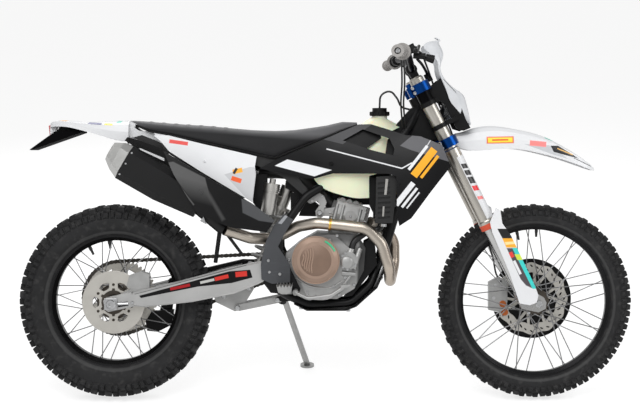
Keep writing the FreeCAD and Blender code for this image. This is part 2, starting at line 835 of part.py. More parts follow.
def make_handlebar():
    left, right = bar_points(1), bar_points(-1)
    path = [p for p in reversed(left)][:-1] + right[1:]
    bar = tube(path, s.bar_radius, 70)
    for side in (-1, 1):
        inner, end = bar_end(side)
        along = (end - inner).normalize()
        bar = bar.cut(cylinder_between(end - along * 60, end + along * 10, s.bar_bore))
    keep("handlebar", shape_piece("handlebar_tube", bar), steering_frame)
    risers = []
    for side in (-1, 1):
        low = float(s.clamp_span / 2 + s.clamp_height / 2)
        top = float(s.clamp_span / 2 + s.bar_above_clamp)
        y = side * 40
        block = Part.makeBox(30, 24, top - low + 4, Vector(float(s.bar_ahead) - 15, y - 12, low - 4))
        cap = Part.makeCylinder(20, 24, Vector(s.bar_ahead, y - 12, top), Vector(0, 1, 0))
        block = block.fuse(cap).cut(Part.makeCylinder(s.bar_radius + 0.1, 60, Vector(s.bar_ahead, y - 30, top),
                                                     Vector(0, 1, 0)))
        bridge_top = low - 4
        foot = Part.makeBox(300, 60, float(s.clamp_height), Vector(-100, y - 30, bridge_top - float(s.clamp_height)))
        risers.append(block.cut(foot))
    grips = []
    for side in (-1, 1):
        inner, end = bar_end(side)
        along = (end - inner).normalize()
        start = end - along * s.grip_length
        grip = cylinder_between(start, end + along * 2, s.grip_radius)
        flange = cylinder_between(start - along * 6, start, s.grip_radius + 12)
        tip = cylinder_between(end + along * 2, end + along * 8, s.grip_radius + 4)
        grip = grip.fuse(flange).fuse(tip)
        grip = grip.cut(cylinder_between(start - along * 40, end + along * 0.2, s.bar_radius + 0.1))
        grips.append(grip.cut(cylinder_between(end - along, end + along * 20, s.bar_radius + 0.1)))
    keep("grips", shape_piece("grip_pair", Part.makeCompound(grips)), steering_frame)
    make_bar_controls(risers)


def make_bar_controls(risers):
    """Each side: a clamp and fluid cylinder with its reservoir, and the lever that pivots on it."""
    bodies, levers = [], []
    for side in (-1, 1):
        inner, end = bar_end(side)
        along = (end - inner).normalize()
        out = end - along * (float(s.grip_length) + 34)
        ring = cylinder_between(out - along * 11, out + along * 11, 18)
        front = Vector(1, 0, 0)
        reservoir = cylinder_between(out - along * 34 + front * 34 + Vector(0, 0, -8),
                                     out + along * 22 + front * 34 + Vector(0, 0, -8), 13)
        block = Part.makeBox(36, 24, 30, Vector(out.x + 6, out.y - 12, out.z - 19))
        body = ring.fuse(block).fuse(reservoir)
        body = body.cut(cylinder_between(out - along * 90, out + along * 60, s.bar_radius + 0.1))
        bodies.append(body)
        root = out + front * 52 + Vector(0, 0, -10) + along * 10
        tip = end - along * 6 + front * 52 + Vector(0, 0, -26)
        lever = tube([root, root + along * 40 + front * 8, tip - along * 40 + front * 2, tip], 5.5, 40)
        lever = lever.fuse(Part.makeSphere(8, tip))
        levers.append(lever.cut(body))
    keep("bar_fittings", shape_piece("bar_fitting_set", Part.makeCompound(bodies + risers)), steering_frame)
    keep("hand_levers", shape_piece("hand_lever_pair", Part.makeCompound(levers)), steering_frame)


def from_head(points):
    """(x, z) points given from the middle of the steering head."""
    return [(float(s.head_x) + x, float(s.head_z) + z) for x, z in points]


def make_mask():
    """The headlamp mask: a waisted front that folds back at its sides, and the lamp in its lower half."""
    stations = []
    for dz, front_dx, rear_dx, half in (
        (288, 38, 28, 20), (272, 46, 13, 52), (250, 54, -14, 78), (225, 60, 10, 84), (197, 52, 34, 86),
        (174, 48, 38, 86), (144, 60, 46, 88), (104, 104, 62, 92), (82, 132, 70, 92), (57, 141, 80, 92),
        (36, 146, 97, 90), (10, 152, 119, 84), (-11, 156, 137, 70), (-24, 154, 148, 40),
    ):
        front_x, rear_x = float(s.head_x) + front_dx, float(s.head_x) + rear_dx
        z = float(s.head_z) + dz
        deep = front_x - rear_x
        side = [(rear_x, -half), (rear_x + deep * 0.5, -half * 0.95), (rear_x + deep * 0.82, -half * 0.76),
                (front_x - deep * 0.03, -half * 0.36)]
        arch = side + [(front_x, 0)] + [(x, -y) for x, y in reversed(side)]
        inner = [(x, y) for x, y in inset(arch, -float(s.panel_wall))]
        stations.append([[Vector(x, y, z) for x, y in line] for line in (arch, inner)])
    front = moulding(stations, s.panel_wall)
    side_points = from_head([(40, 138), (52, 140), (98, 92), (134, -6), (150, -34), (126, -44), (100, -36),
                             (60, 50), (22, 72), (-14, 78), (4, 104)])
    side = slab(side_points, 76, 86)
    tube_room = Part.makeBox(200, 260, 900, Vector(s.clamp_offset + s.fork_top_radius + 1 - 200, 0, -450))
    tube_room.Placement = steering_frame
    ear_room = Part.makeBox(200, 260, 300, Vector(s.clamp_offset + s.fork_top_radius + s.clamp_wall + 1 - 200, 0, 84))
    ear_room.Placement = steering_frame
    side = side.cut(tube_room).cut(ear_room)
    for t, tab_length in ((36, 16), (-52, 46)):
        centre = steering_frame.multVec(Vector(s.clamp_offset, s.fork_half, t))
        outer = Part.makeCylinder(s.fork_top_radius + 2.6, 16, centre, up)
        tab = Part.makeBox(tab_length, 26, 16, Vector(s.clamp_offset + s.fork_top_radius + 0.4, 77, t))
        tab.Placement = steering_frame
        strap = outer.cut(Part.makeCylinder(s.fork_top_radius + 0.2, 60, centre - up * 20, up))
        side = side.fuse(strap).fuse(tab)
    sides = side.fuse(side.mirror(Vector(), Vector(0, 1, 0)))
    keep("mask_sides", shape_piece("mask_side_pair", sides.cut(front)))
    lamp_x, lamp_z = float(s.head_x) + 100, float(s.head_z) + 42
    lamp = loft([
        box_section(Vector(lamp_x - 40, 0, lamp_z - 6), Vector(1, 0, 0), Vector(0, 1, 0), 90, 80, 16),
        box_section(Vector(lamp_x + 14, 0, lamp_z), Vector(1, 0, 0), Vector(0, 1, 0), 132, 110, 22),
    ])
    keep("headlamp", shape_piece("headlamp_body", lamp))
    keep("headlamp_mask", shape_piece("headlamp_mask_shell", front.cut(lamp)))


def make_front_fender():
    """One pressed mudguard that runs between the fork legs and out over the wheel."""
    under = head - up * (float(s.clamp_span) / 2)
    stations = [(under.x + x, under.z + top, half, drop) for x, top, half, drop in (
        (56, 44, 54, 46), (112, 60, 58, 78), (182, 70, 64, 84), (262, 60, 72, 72), (352, 39, 76, 67),
        (432, 2, 72, 52), (512, -50, 54, 28), (546, -80, 26, 8))]
    tongue = Part.makeBox(38, 52, 14, Vector(s.clamp_offset + 24, -26, -(s.clamp_span / 2 + 10)))
    tongue.Placement = steering_frame
    guard = mudguard(stations, s.panel_wall)
    keep("front_fender", shape_piece("front_fender_skin", guard.fuse(tongue)))


def make_fork_guards():
    """A channel in front of each slider, from the seal down over the axle foot."""
    ax, az = front_axle.x, front_axle.z
    outline = [(ax - 152, az + 336), (ax - 136, az + 325), (ax - 130, az + 282), (ax - 100, az + 240),
               (ax - 16, az + 64), (ax - 4, az + 32), (ax - 10, az + 6), (ax - 34, az - 2), (ax - 70, az + 4),
               (ax - 104, az + 108), (ax - 164, az + 250), (ax - 172, az + 284)]
    y = float(s.fork_half) + float(s.fork_seal_radius)
    rows = [(ax - 180, [(az - 20, y + 4), (az + 170, y + 4), (az + 350, y + 4)]),
            (ax - 80, [(az - 20, y + 8), (az + 170, y + 8), (az + 350, y + 8)]),
            (ax + 20, [(az - 20, y), (az + 170, y), (az + 350, y)])]
    guard = side_skin(rows, outline, s.panel_wall)
    at = steering_frame.multVec(Vector(s.clamp_offset + 32, s.fork_half + 16, 32 - fork_length))
    guard = guard.fuse(Part.makeCylinder(6, 18, at, Vector(0, 1, 0)))
    guards = Part.makeCompound([guard, guard.mirror(Vector(), Vector(0, 1, 0))])
    keep("fork_guards", shape_piece("fork_guard_pair", guards))


def front_caliper_outline(grow):
    cx, cz = front_axle.x - 122, front_axle.z + 10
    return [(cx - 34 - grow, cz - 50 - grow), (cx + 24, cz - 62 - grow), (cx + 34 + grow, cz - 20),
            (cx + 34 + grow, cz + 50), (cx + 4, cz + 70 + grow), (cx - 34 - grow, cz + 50 + grow)]


def make_front_caliper():
    """The two-piston caliper behind the left fork leg, with a slot for the disc."""
    cx, cz = front_axle.x - 122, front_axle.z + 10
    y = float(front_disc_offset)
    body = slab(front_caliper_outline(0), y - 13, y + 15)
    slot = Part.makeCylinder(s.front_disc_radius + 4, 14, Vector(front_axle.x, y - 7, front_axle.z), Vector(0, 1, 0))
    inner = float(s.fork_half) - 25
    bracket = slab([(cx + 10, cz - 40), (front_axle.x - 50, front_axle.z - 8), (front_axle.x - 34, front_axle.z + 30),
                    (front_axle.x - 50, front_axle.z + 44), (cx + 10, cz + 44)], y + 12.4, inner)
    keep("front_caliper", shape_piece("front_caliper_body", body.cut(slot).fuse(bracket)))


def make_disc_guard():
    """The round guard that shields the front disc, carried by the left axle foot."""
    guard = turned("disc_guard_body", [
        (s.axle_radius + 2, -2), (s.front_guard_radius, -2), (s.front_guard_radius, -8),
        (s.front_guard_radius + 3, -8), (s.front_guard_radius + 3, 2), (s.axle_radius + 2, 2)])
    guard.Placement = front_wheel_frame.multiply(Placement(Vector(0, front_disc_offset + 10, 0), Rotation()))
    start = float(front_disc_offset) + 11
    length = float(s.fork_half) - 25 - start
    posts = [Part.makeCylinder(6, length, Vector(front_axle.x + x, start, front_axle.z + z), Vector(0, 1, 0))
             for x, z in ((17, -12), (-8, 20))]
    room = shape_piece("disc_guard_notch", slab(front_caliper_outline(3), 40, 100))
    keep("disc_guard", fused("disc_guard_whole", [
        cut("disc_guard_cut", guard, room), shape_piece("disc_guard_posts", Part.makeCompound(posts))]))


# Frame, swingarm and what carries the rear wheel


def spar_points(side):
    """Centre line of one top spar, from the head tube to its pivot plate."""
    start = head + up * (0.55 * (float(s.clamp_span) / 2 - float(s.clamp_height) / 2 - 4))
    return [
        start + Vector(0, side * 12, 0), Vector(head.x - 80, side * s.spar_half, head.z - 60),
        Vector(60, side * (s.spar_half + 12), 800), Vector(-70, side * 92, 722),
        Vector(s.pivot_x + 24, side * 99, s.pivot_z + 120), Vector(s.pivot_x + 14, side * 99, s.pivot_z + 84),
    ]


def cradle_tube(side):
    cy, px, pz = float(s.cradle_half), float(s.pivot_x), float(s.pivot_z)
    return tube([
        Vector(196, side * 12, 500), Vector(160, side * cy, 410), Vector(90, side * cy, 346),
        Vector(-60, side * cy, 338), Vector(px + 40, side * (cy + 20), pz - 96),
        Vector(px + 18, side * (s.plate_half - 10), pz - 76),
    ], s.cradle_radius, 60)


def down_points():
    return [head - up * 40, Vector(262, 0, 720), Vector(196, 0, 500)]


def stand_pivot():
    return Vector(s.stand_x, s.stand_half, s.stand_z)


def stand_foot():
    """Where the middle of the foot meets the ground that the leaned bike stands on."""
    side = float(s.stand_foot_side)
    return Vector(s.stand_x + s.stand_foot_ahead, side, side * math.tan(lean))


def stand_axis():
    """The hinge is square to the leg both down and folded back along the swingarm."""
    leg = stand_foot() - stand_pivot()
    folded = Vector(-0.97, 0.1, 0.2)
    return leg.cross(folded).normalize()


def stand_bracket():
    """A lug welded to the left cradle tube, with the pin that the side stand turns on."""
    hinge, axis = stand_pivot(), stand_axis()
    near = float(s.stand_knuckle_half) + 0.5
    cheek = cylinder_between(hinge - axis * (near + float(s.stand_cheek)), hinge - axis * near, 17)
    block = Part.makeBox(36, 50, 34, Vector(hinge.x - 18, 66, hinge.z - 12))
    room = cylinder_between(hinge - axis * near, hinge + axis * 60, 44)
    leg_room = cylinder_between(hinge, stand_foot(), s.stand_radius + s.turn_gap)
    pin = cylinder_between(hinge - axis * (near + 6), hinge + axis * (near + 4), 6)
    bracket = cheek.fuse(block).cut(room).cut(leg_room).fuse(pin)
    return max(bracket.Solids, key=lambda solid: solid.Volume)


def make_frame():
    """Head tube, two spars, one down tube, a split cradle and the two pivot plates, welded together."""
    top = float(s.clamp_span) / 2 - float(s.clamp_height) / 2 - 4
    head_tube = Part.makeCylinder(s.head_tube_radius, 2 * top, head - up * top, up)
    bore = Part.makeCylinder(s.stem_radius + s.pin_gap, 2 * top + 20, head - up * (top + 10), up)
    cy = float(s.cradle_half)
    plate_y = float(s.plate_half) - float(s.plate_wall) / 2
    solids = []
    px, pz = float(s.pivot_x), float(s.pivot_z)
    for side in (-1, 1):
        spar = tube(spar_points(side), s.spar_radius, 90)
        cradle = cradle_tube(side)
        plate = slab([(px - 30, pz - 56), (px - 6, pz - 88), (px + 90, pz - 96), (px + 98, pz - 74),
                      (px + 66, pz - 10), (px + 36, pz + 60), (px + 34, pz + 124), (px + 2, pz + 112),
                      (px - 30, pz + 40)], plate_y - float(s.plate_wall) / 2, plate_y + float(s.plate_wall) / 2)
        if side < 0:
            plate = plate.mirror(Vector(), Vector(0, 1, 0))
        solids += [spar, cradle, plate]
    down = tube(down_points(), s.down_radius, 200)
    cross = cylinder_between(frame_cross - Vector(0, 92, 0), frame_cross + Vector(0, 92, 0), s.cross_radius)
    lug = slab([(-70, 712), (-70, 734), (-124, 780), (-142, 776), (-142, 750), (-120, 738)], 25.2, 33)
    under = cylinder_between(Vector(-60, -cy, 338), Vector(-60, cy, 338), 11)
    link = slab([(-172, 368), (-160, 352), (-112, 352), (-70, 338), (-60, 344), (-150, 372)], 48, 56)
    pin = cylinder_between(Vector(px, -plate_y, pz), Vector(px, plate_y, pz), 9)
    frame = head_tube
    for solid in solids + [stand_bracket(), down, cross, lug, lug.mirror(Vector(), Vector(0, 1, 0)), under, link,
                           link.mirror(Vector(), Vector(0, 1, 0)), pin]:
        frame = frame.fuse(solid)
    keep("main_frame", shape_piece("main_frame_weldment", frame.cut(bore)))
    guard_in = float(s.guard_in)
    guard_points = [(px + 40, pz + 186), (px + 72, pz + 168), (px + 38, pz + 110), (px + 20, pz + 74),
                    (px + 62, pz + 10), (px + 62, pz - 50), (px, pz - 56), (px - 38, pz - 40), (px - 40, pz + 14),
                    (px - 24, pz + 88), (px + 4, pz + 146)]
    guard = slab(guard_points, guard_in, guard_in + float(s.guard_wall))
    pads = slab([(px + 6, pz - 44), (px + 50, pz - 44), (px + 50, pz - 20), (px + 6, pz - 20)],
                float(s.plate_half), guard_in)
    guard = guard.fuse(pads)
    guards = Part.makeCompound([guard, guard.mirror(Vector(), Vector(0, 1, 0))])
    keep("frame_guards", shape_piece("frame_guard_pair", guards))


SWINGARM_BRIDGE = [(-134, 22), (-134, -36), (-186, -40), (-186, 18)]


def swingarm_bridge_solid():
    bridge = slab(SWINGARM_BRIDGE, -120, 120)
    bridge.Placement = swingarm_frame
    return bridge


def make_swingarm():
    """Two tapered arms joined by a bridge, bored for the pivot and the axle."""
    length = float(s.swingarm_length)
    wall = float(s.swingarm_wall)
    arms = []
    stations = [
        (10, 26, -26, 62, 40), (-60, 30, -46, 70, 34), (-150, 31, -60, 82, wall),
        (-(length + 27) / 2, 26, -56, 90, wall),
        (-(length - 113), 22, -38, 94, wall), (-(length - 70), 20, -24, 96, wall),
    ]
    sections = []
    for x, top, bottom, inner, width in stations:
        sections.append([Vector(x, inner, bottom + 5), Vector(x, inner, top - 5), Vector(x, inner + 5, top),
                         Vector(x, inner + width - 5, top), Vector(x, inner + width, top - 5),
                         Vector(x, inner + width, bottom + 5), Vector(x, inner + width - 5, bottom),
                         Vector(x, inner + 5, bottom)])
    arm = loft(sections)
    x1, x2 = -(length - 76), -(length + 26)
    foot = slab([(x1, 24), (x1, -26), (x2 + 10, -26), (x2, -16), (x2, 16), (x2 + 10, 24)], 96, 96 + wall)
    barrel = Part.makeCylinder(s.swingarm_pivot_radius, 42, Vector(0, 60, 0), Vector(0, 1, 0))
    arm = arm.fuse(foot).fuse(barrel)
    for side in (1, -1):
        one = arm if side > 0 else arm.mirror(Vector(), Vector(0, 1, 0))
        arms.append(one)
    bridge = slab(SWINGARM_BRIDGE, -88, 88)
    whole = arms[0].fuse(arms[1]).fuse(bridge)
    hole = Part.makeCylinder(9 + s.fit_gap, 300, Vector(0, -150, 0), Vector(0, 1, 0))
    axle_hole = Part.makeCylinder(s.axle_radius + s.pin_gap, 300, Vector(-length, -150, 0), Vector(0, 1, 0))
    whole = whole.cut(hole).cut(axle_hole)
    casting = shape_piece("swingarm_casting", whole.removeSplitter())
    placed = whole.copy()
    placed.Placement = swingarm_frame
    axle = turned("rear_axle_body", [
        (s.axle_bore, -s.rear_axle_half), (s.axle_radius, -s.rear_axle_half),
        (s.axle_radius, s.rear_axle_half), (s.axle_bore, s.rear_axle_half)])
    axle.Placement = Placement(Vector(-s.swingarm_length, 0, 0), Rotation())
    keep("swingarm", compound("swingarm_with_axle", [casting, axle]), swingarm_frame)
    return placed


def chain_runs():
    """The chain's pitch line: its wheels as (centre, radius, first turn, angle wrapped), and its straight run."""
    r1, r2 = float(pitch_radius(s.rear_teeth)), float(pitch_radius(s.front_teeth))
    c1, c2 = Vector(rear_axle.x, 0, rear_axle.z), Vector(s.sprocket_x, 0, s.sprocket_z)
    line = c2 - c1
    tilt = math.asin((r1 - r2) / line.Length)
    along = math.atan2(line.z, line.x)
    upper, lower = along + math.pi / 2 - tilt, along - math.pi / 2 + tilt
    return (c2, r2, upper, math.pi - 2 * tilt), (c1, r1, lower, math.pi + 2 * tilt), line.Length * math.cos(tilt)


def chain_loop(offset, y_low, y_high):
    """The closed loop of the chain at a distance from its pitch line, its curves as flats round the wheels."""
    flats = 12
    points = []
    for centre, radius, first, swept in chain_runs()[:2]:
        corner = (radius + offset) / math.cos(swept / flats / 2)
        for i in range(flats):
            turn = first - swept * (i + 0.5) / flats
            points.append((centre.x + corner * math.cos(turn), centre.z + corner * math.sin(turn)))
    return slab(points, y_low, y_high)


def chain_outline(half, notch):
    """The outer edge of the chain, notched between the plates of every second link."""
    front, rear, run = chain_runs()
    front_arc, rear_arc = front[1] * front[3], rear[1] * rear[3]
    whole = 2 * run + front_arc + rear_arc
    plates = round(whole / float(s.chain_pitch) / 2)
    points = []
    for i in range(plates):
        for share, offset in ((0, half), (0.84, half), (0.92, half - notch)):
            way = (i + share) * whole / plates
            wheel = front if way < front_arc + run else rear
            if wheel is rear:
                way -= front_arc + run
            centre, radius, first, wrapped = wheel
            turn = min(way / radius, wrapped)
            beyond = way - radius * turn
            a = first - turn
            points.append((centre.x + (radius + offset) * math.cos(a) + beyond * math.sin(a),
                           centre.z + (radius + offset) * math.sin(a) - beyond * math.cos(a)))
    return points


def make_chain():
    """The drive chain as one fixed loop, grooved where the sprocket teeth run."""
    low, high = s.chain_offset - s.chain_width / 2, s.chain_offset + s.chain_width / 2
    half = float(s.chain_height) / 2
    band = slab(chain_outline(half, 1.1), float(low), float(high))
    band = band.cut(chain_loop(-half, float(low) - 1, float(high) + 1))
    groove_half = float(s.sprocket_wall) / 2 + 1
    groove = chain_loop(half - 1.8, float(s.chain_offset) - groove_half, float(s.chain_offset) + groove_half)
    chain = shape_piece("drive_chain_loop", band.cut(groove))
    pitch = pitch_radius(s.front_teeth)
    wall = float(s.sprocket_wall) / 2
    front = toothed(s.front_teeth, pitch + 4.5, pitch - 5, float(s.chain_offset) - wall, float(s.chain_offset) + wall)
    front.translate(Vector(s.sprocket_x, 0, s.sprocket_z))
    splines = [(s.sprocket_x + 12 * math.cos(math.pi * i / 8), s.sprocket_z + 12 * math.sin(math.pi * i / 8))
               for i in range(16)]
    shaft = slab(splines, float(s.case_left), float(s.chain_offset) + 8)
    sprocket = shape_piece("front_sprocket_shape", front.fuse(shaft))
    keep("drive_chain", compound("chain_and_sprocket", [chain, sprocket]))


def make_chain_guide(swingarm):
    """The block under the left arm that steers the lower chain run."""
    y = float(s.chain_offset)
    x, z = rear_axle.x + 146, rear_axle.z - 88
    block = slab([(x - 52, z + 4), (x - 46, z - 30), (x - 8, z - 34), (x + 44, z - 8), (x + 50, z + 46),
                  (x - 30, z + 40)], y - 15, y + 15)
    half = float(s.chain_height) / 2
    width = float(s.chain_width) / 2
    channel = chain_loop(half + 2, y - width - 2, y + width + 2).cut(chain_loop(-half - 2, y - 40, y + 40))
    arm = slab([(x - 10, z + 20), (x + 40, z + 30), (x + 56, z + 150), (x + 30, z + 150)], y + 11, y + 23)
    arm = min(arm.cut(swingarm).Solids, key=lambda solid: solid.CenterOfMass.z)
    reach_out = pitch_radius(s.rear_teeth) + 4.5 + float(s.turn_gap) + 1
    room = Part.makeCylinder(reach_out, 24, Vector(rear_axle.x, y - 12, rear_axle.z), Vector(0, 1, 0))
    block = block.cut(channel).fuse(arm).cut(room)
    keep("chain_guide", shape_piece("chain_guide_block", block))


def make_shock():
    """Monoshock between the frame's lugs and the linkage, with its spring and oil reservoir."""
    top = Vector(-130, 0, 762)
    low = Vector(-272, 0, 396)
    along = (low - top).normalize()
    body = cylinder_between(top + along * 8, top + along * 190, 24)
    rod = cylinder_between(top + along * 180, low - along * 8, 8)
    eye_top = Part.makeCylinder(14, 50, top + Vector(0, -25, 0), Vector(0, 1, 0))
    eye_low = Part.makeCylinder(15, 30, low + Vector(0, -15, 0), Vector(0, 1, 0))
    collar = cylinder_between(top + along * 84, top + along * 94, 39)
    seat = cylinder_between(low - along * 44, low - along * 34, 38)
    damper = body.fuse(rod).fuse(eye_top).fuse(eye_low).fuse(collar).fuse(seat)
    res_top, res_low = Vector(-187, -76, 766), Vector(-203, -76, 660)
    res_along = (res_low - res_top).normalize()
    reservoir = cylinder_between(res_top, res_low, 26)
    cap = cylinder_between(res_top - res_along * 1, res_top + res_along * 24, 28)
    knob = cylinder_between(res_top - res_along * 18, res_top, 11)
    bridge = cylinder_between(res_top + res_along * 40 + Vector(0, 10, 0), top + along * 58, 10)
    damper = damper.fuse(reservoir).fuse(cap).fuse(knob).fuse(bridge)
    damper = damper.cut(Part.makeCylinder(6.05, 80, low + Vector(0, -40, 0), Vector(0, 1, 0)))
    keep("shock_damper", shape_piece("shock_damper_shape", damper.removeSplitter()))
    spring = cylinder_between(top + along * 94.2, low - along * 44.2, 37)
    spring = spring.cut(cylinder_between(top + along * 60, low, 25))
    keep("shock_spring", shape_piece("shock_spring_shape", spring))


def make_linkage():
    """The rocker and pull rods that join the shock, the frame and the arm."""
    rocker = slab([(-258, 386), (-262, 408), (-284, 412), (-342, 404), (-394, 362), (-388, 346), (-322, 314),
                   (-300, 318)], 18, 34)
    rod = slab([(-322, 336), (-306, 316), (-160, 346), (-152, 354), (-160, 366), (-172, 366)], 36, 46)
    spacer = cylinder_between(Vector(-312, 18, 328), Vector(-312, 46, 328), 9)
    side = rocker.fuse(rod).fuse(spacer)
    pin = cylinder_between(Vector(-272, -34, 396), Vector(-272, 34, 396), 6)
    tie = cylinder_between(Vector(-360, -34, 366), Vector(-360, 34, 366), 10)
    arm_lug = slab([(-342, 400), (-326, 404), (-330, 440), (-348, 438)], 18, 34)
    side = side.fuse(arm_lug)
    whole = side.fuse(side.mirror(Vector(), Vector(0, 1, 0))).fuse(pin).fuse(tie)
    keep("shock_linkage", shape_piece("shock_linkage_shape", whole.cut(swingarm_bridge_solid())))


def make_rear_caliper():
    """The caliper above the rear disc, on a bracket held by the axle and the right arm."""
    cx, cz = rear_axle.x + 88, rear_axle.z + 76
    y = -float(s.rear_disc_offset)
    body = slab([(cx - 40, cz - 18), (cx - 30, cz + 20), (cx + 10, cz + 34), (cx + 40, cz + 24), (cx + 40, cz - 24),
                 (cx - 10, cz - 40)], y - 18, y + 16)
    slot = Part.makeCylinder(s.rear_disc_radius + 4, 12, Vector(rear_axle.x, y - 6, rear_axle.z), Vector(0, 1, 0))
    bracket = slab([(cx - 30, cz - 30), (rear_axle.x - 16, rear_axle.z + 10), (rear_axle.x - 16, rear_axle.z - 16),
                    (rear_axle.x + 20, rear_axle.z - 16), (cx + 34, cz - 24), (cx + 30, cz - 10)], y - 19.4, y - 14.4)
    hole = Part.makeCylinder(s.axle_radius + s.pin_gap, 60, Vector(rear_axle.x, y - 40, rear_axle.z), Vector(0, 1, 0))
    keep("rear_caliper", shape_piece("rear_caliper_body", body.cut(slot).fuse(bracket.cut(hole))))


# Engine and exhaust


hanger_bolt = (-21, 664)
frame_cross = Vector(-70, 0, 722)


def make_engine():
    case = slab([(-140, 455), (-122, 402), (-60, 366), (40, 362), (100, 398), (134, 462), (140, 540), (112, 586),
                 (-30, 596), (-92, 560), (-140, 520)], -float(s.case_right), float(s.case_left))
    sump = slab([(-76, 398), (-62, 376), (-30, 366), (16, 372), (60, 410), (92, 452), (86, 540), (30, 590),
                 (-60, 584), (-104, 540), (-104, 470)], -float(s.case_right) - 30, -float(s.case_right))
    pump = cylinder_between(Vector(82, -float(s.case_right) - 44, 500), Vector(82, -float(s.case_right), 500), 30)
    casting = case.fuse(sump).fuse(pump)
    keep("crankcase", shape_piece("crankcase_casting", casting))
    cover = round_bar("clutch_cover_disc", s.clutch_radius, s.clutch_out - s.case_right - 30 - 12,
                      lateral(s.clutch_x, -(s.clutch_out - 12), s.clutch_z))
    cap = doc.addObject("Part::Cone", "clutch_cover_cap")
    cap.setExpression("Radius1", (s.clutch_radius - 18).text)
    cap.setExpression("Radius2", s.clutch_radius.text)
    cap.Height = 12
    cap.Placement = lateral(s.clutch_x, -s.clutch_out, s.clutch_z)
    clutch = fused("clutch_cover_casting", [cover, cap])
    ignition = round_bar("ignition_cover_disc", s.ignition_radius, s.ignition_out - s.case_left - 12,
                         lateral(s.ignition_x, s.case_left, s.ignition_z))
    ignition_cap = doc.addObject("Part::Cone", "ignition_cover_cap")
    ignition_cap.setExpression("Radius1", s.ignition_radius.text)
    ignition_cap.setExpression("Radius2", (s.ignition_radius - 14).text)
    ignition_cap.Height = 12
    ignition_cap.Placement = lateral(s.ignition_x, s.ignition_out - 12, s.ignition_z)
    alternator = fused("ignition_cover_casting", [ignition, ignition_cap])
    keep("engine_covers", compound("engine_cover_pair", [clutch, alternator]))
    tilt = Placement(Vector(62, 0, 590), Rotation(Vector(0, 1, 0), s.cylinder_lean))
    half, head_half = float(s.cylinder_half), float(s.head_half)
    barrel = loft([box_section(Vector(0, 0, z), Vector(0, 0, 1), Vector(1, 0, 0), 2 * half - 4, 2 * half, 14)
                   for z in (-50, 24)])
    barrel.Placement = tilt
    below = slab([(-140, 300), (200, 300), (200, 588), (112, 586.2), (-30, 596.2), (-140, 596)], -120, 120)
    keep("cylinder", shape_piece("cylinder_barrel", barrel.cut(below)))
    top = loft([
        box_section(Vector(0, 0, 24.2), Vector(0, 0, 1), Vector(1, 0, 0), 120, 2 * half + 4, 14),
        box_section(Vector(4, 0, 64), Vector(0, 0, 1), Vector(1, 0, 0), 136, 2 * head_half - 12, 14),
        box_section(Vector(6, 0, 108), Vector(0, 0, 1), Vector(1, 0, 0), 132, 2 * head_half - 20, 14),
    ])
    top.Placement = tilt
    x, z = hanger_bolt
    for low in (-float(s.hanger_in) + s.fit_gap, float(s.hanger_in) - s.fit_gap - 18):
        top = top.fuse(slab([(40, z - 12), (40, z + 20), (x, z + 12), (x - 12, z), (x, z - 12)], low, low + 18))
    keep("cylinder_head", shape_piece("cylinder_head_casting", top))
    make_intake(top)
    make_hanger(top)
    make_hoses(casting)
    return top


def make_intake(head_casting):
    """The throttle body behind the head, with the rubber boots that join it to the head and the airbox."""
    path = [Vector(40, 0, 676), Vector(-34, 0, 744), Vector(-90, 0, 800), Vector(-170, 0, 806),
            Vector(-262 + s.fit_gap, 0, 806)]
    along = (path[1] - path[0]).normalize()
    middle = path[0] + along * 68
    body = cylinder_between(middle - along * 26, middle + along * 26, 30)
    wheel = cylinder_between(middle + Vector(0, -42, 0), middle + Vector(0, 42, 0), 15)
    intake = tube(path, 23, 80).fuse([body, wheel]).cut(head_casting)
    keep("throttle_body", shape_piece("throttle_body_shape", max(intake.Solids, key=lambda solid: solid.Volume)))


def make_hanger(head_casting):
    """The forked plates that hang the cylinder head from the spars."""
    outline = [(-74, 708), (-60, 724), (-22, 734), (-6, 724), (4, 700), (-6, 676), (-8, 652), (-21, 642), (-34, 652),
               (-36, 670), (-20, 692), (-28, 706), (-54, 696)]
    low, high = float(s.hanger_in), float(s.hanger_in) + float(s.hanger_wall)
    plate = slab(outline, low, high)
    plate = plate.fuse(Part.makeCylinder(8, 26, Vector(-64, high - 1, 714), Vector(0, 1, 0)))
    plate = plate.fuse(Part.makeCylinder(11, 6, Vector(hanger_bolt[0], high - 1, hanger_bolt[1]), Vector(0, 1, 0)))
    plate = plate.cut(head_casting).cut(tube(spar_points(1), s.spar_radius + 0.2, 90))
    plate = plate.cut(cylinder_between(frame_cross, frame_cross + Vector(0, 100, 0), float(s.cross_radius) + 0.2))
    plate = max(plate.Solids, key=lambda solid: solid.Volume)
    pair = Part.makeCompound([plate, plate.mirror(Vector(), Vector(0, 1, 0))])
    keep("engine_hanger", shape_piece("engine_hanger_pair", pair))


def make_hoses(casting):
    """The coolant hose from the pump to the right radiator, and the tank's breather."""
    pump_y = -float(s.case_right) - 14
    coolant = tube([Vector(88, pump_y, 526), Vector(98, pump_y, 566), Vector(140, -82, 594), Vector(190, -76, 606),
                    Vector(202, -92, 640)], 11, 40).cut(casting)
    foot = radiator_foot - float(s.fit_gap)
    coolant = coolant.cut(slab([(160, foot), (250, foot), (250, 700), (160, 700)], -150, -50))
    breather = tube([Vector(192, 0, 1034 + s.fit_gap), Vector(194, 0, 1082), Vector(232, -3, 1098),
                     Vector(256, -5, 1066), Vector(268, -5, 1036), Vector(330, -2, 1022)], 3.5, 40)
    top = float(s.clamp_span) / 2
    breather = breather.cut(Part.makeCylinder(s.head_tube_radius + s.fit_gap, 2 * top, head - up * top, up))
    for side in (-1, 1):
        breather = breather.cut(tube(spar_points(side), s.spar_radius + 0.2, 90))
    breather = min(breather.Solids, key=lambda solid: solid.CenterOfMass.x)
    keep("hoses", shape_piece("hose_set", Part.makeCompound([coolant, breather])))


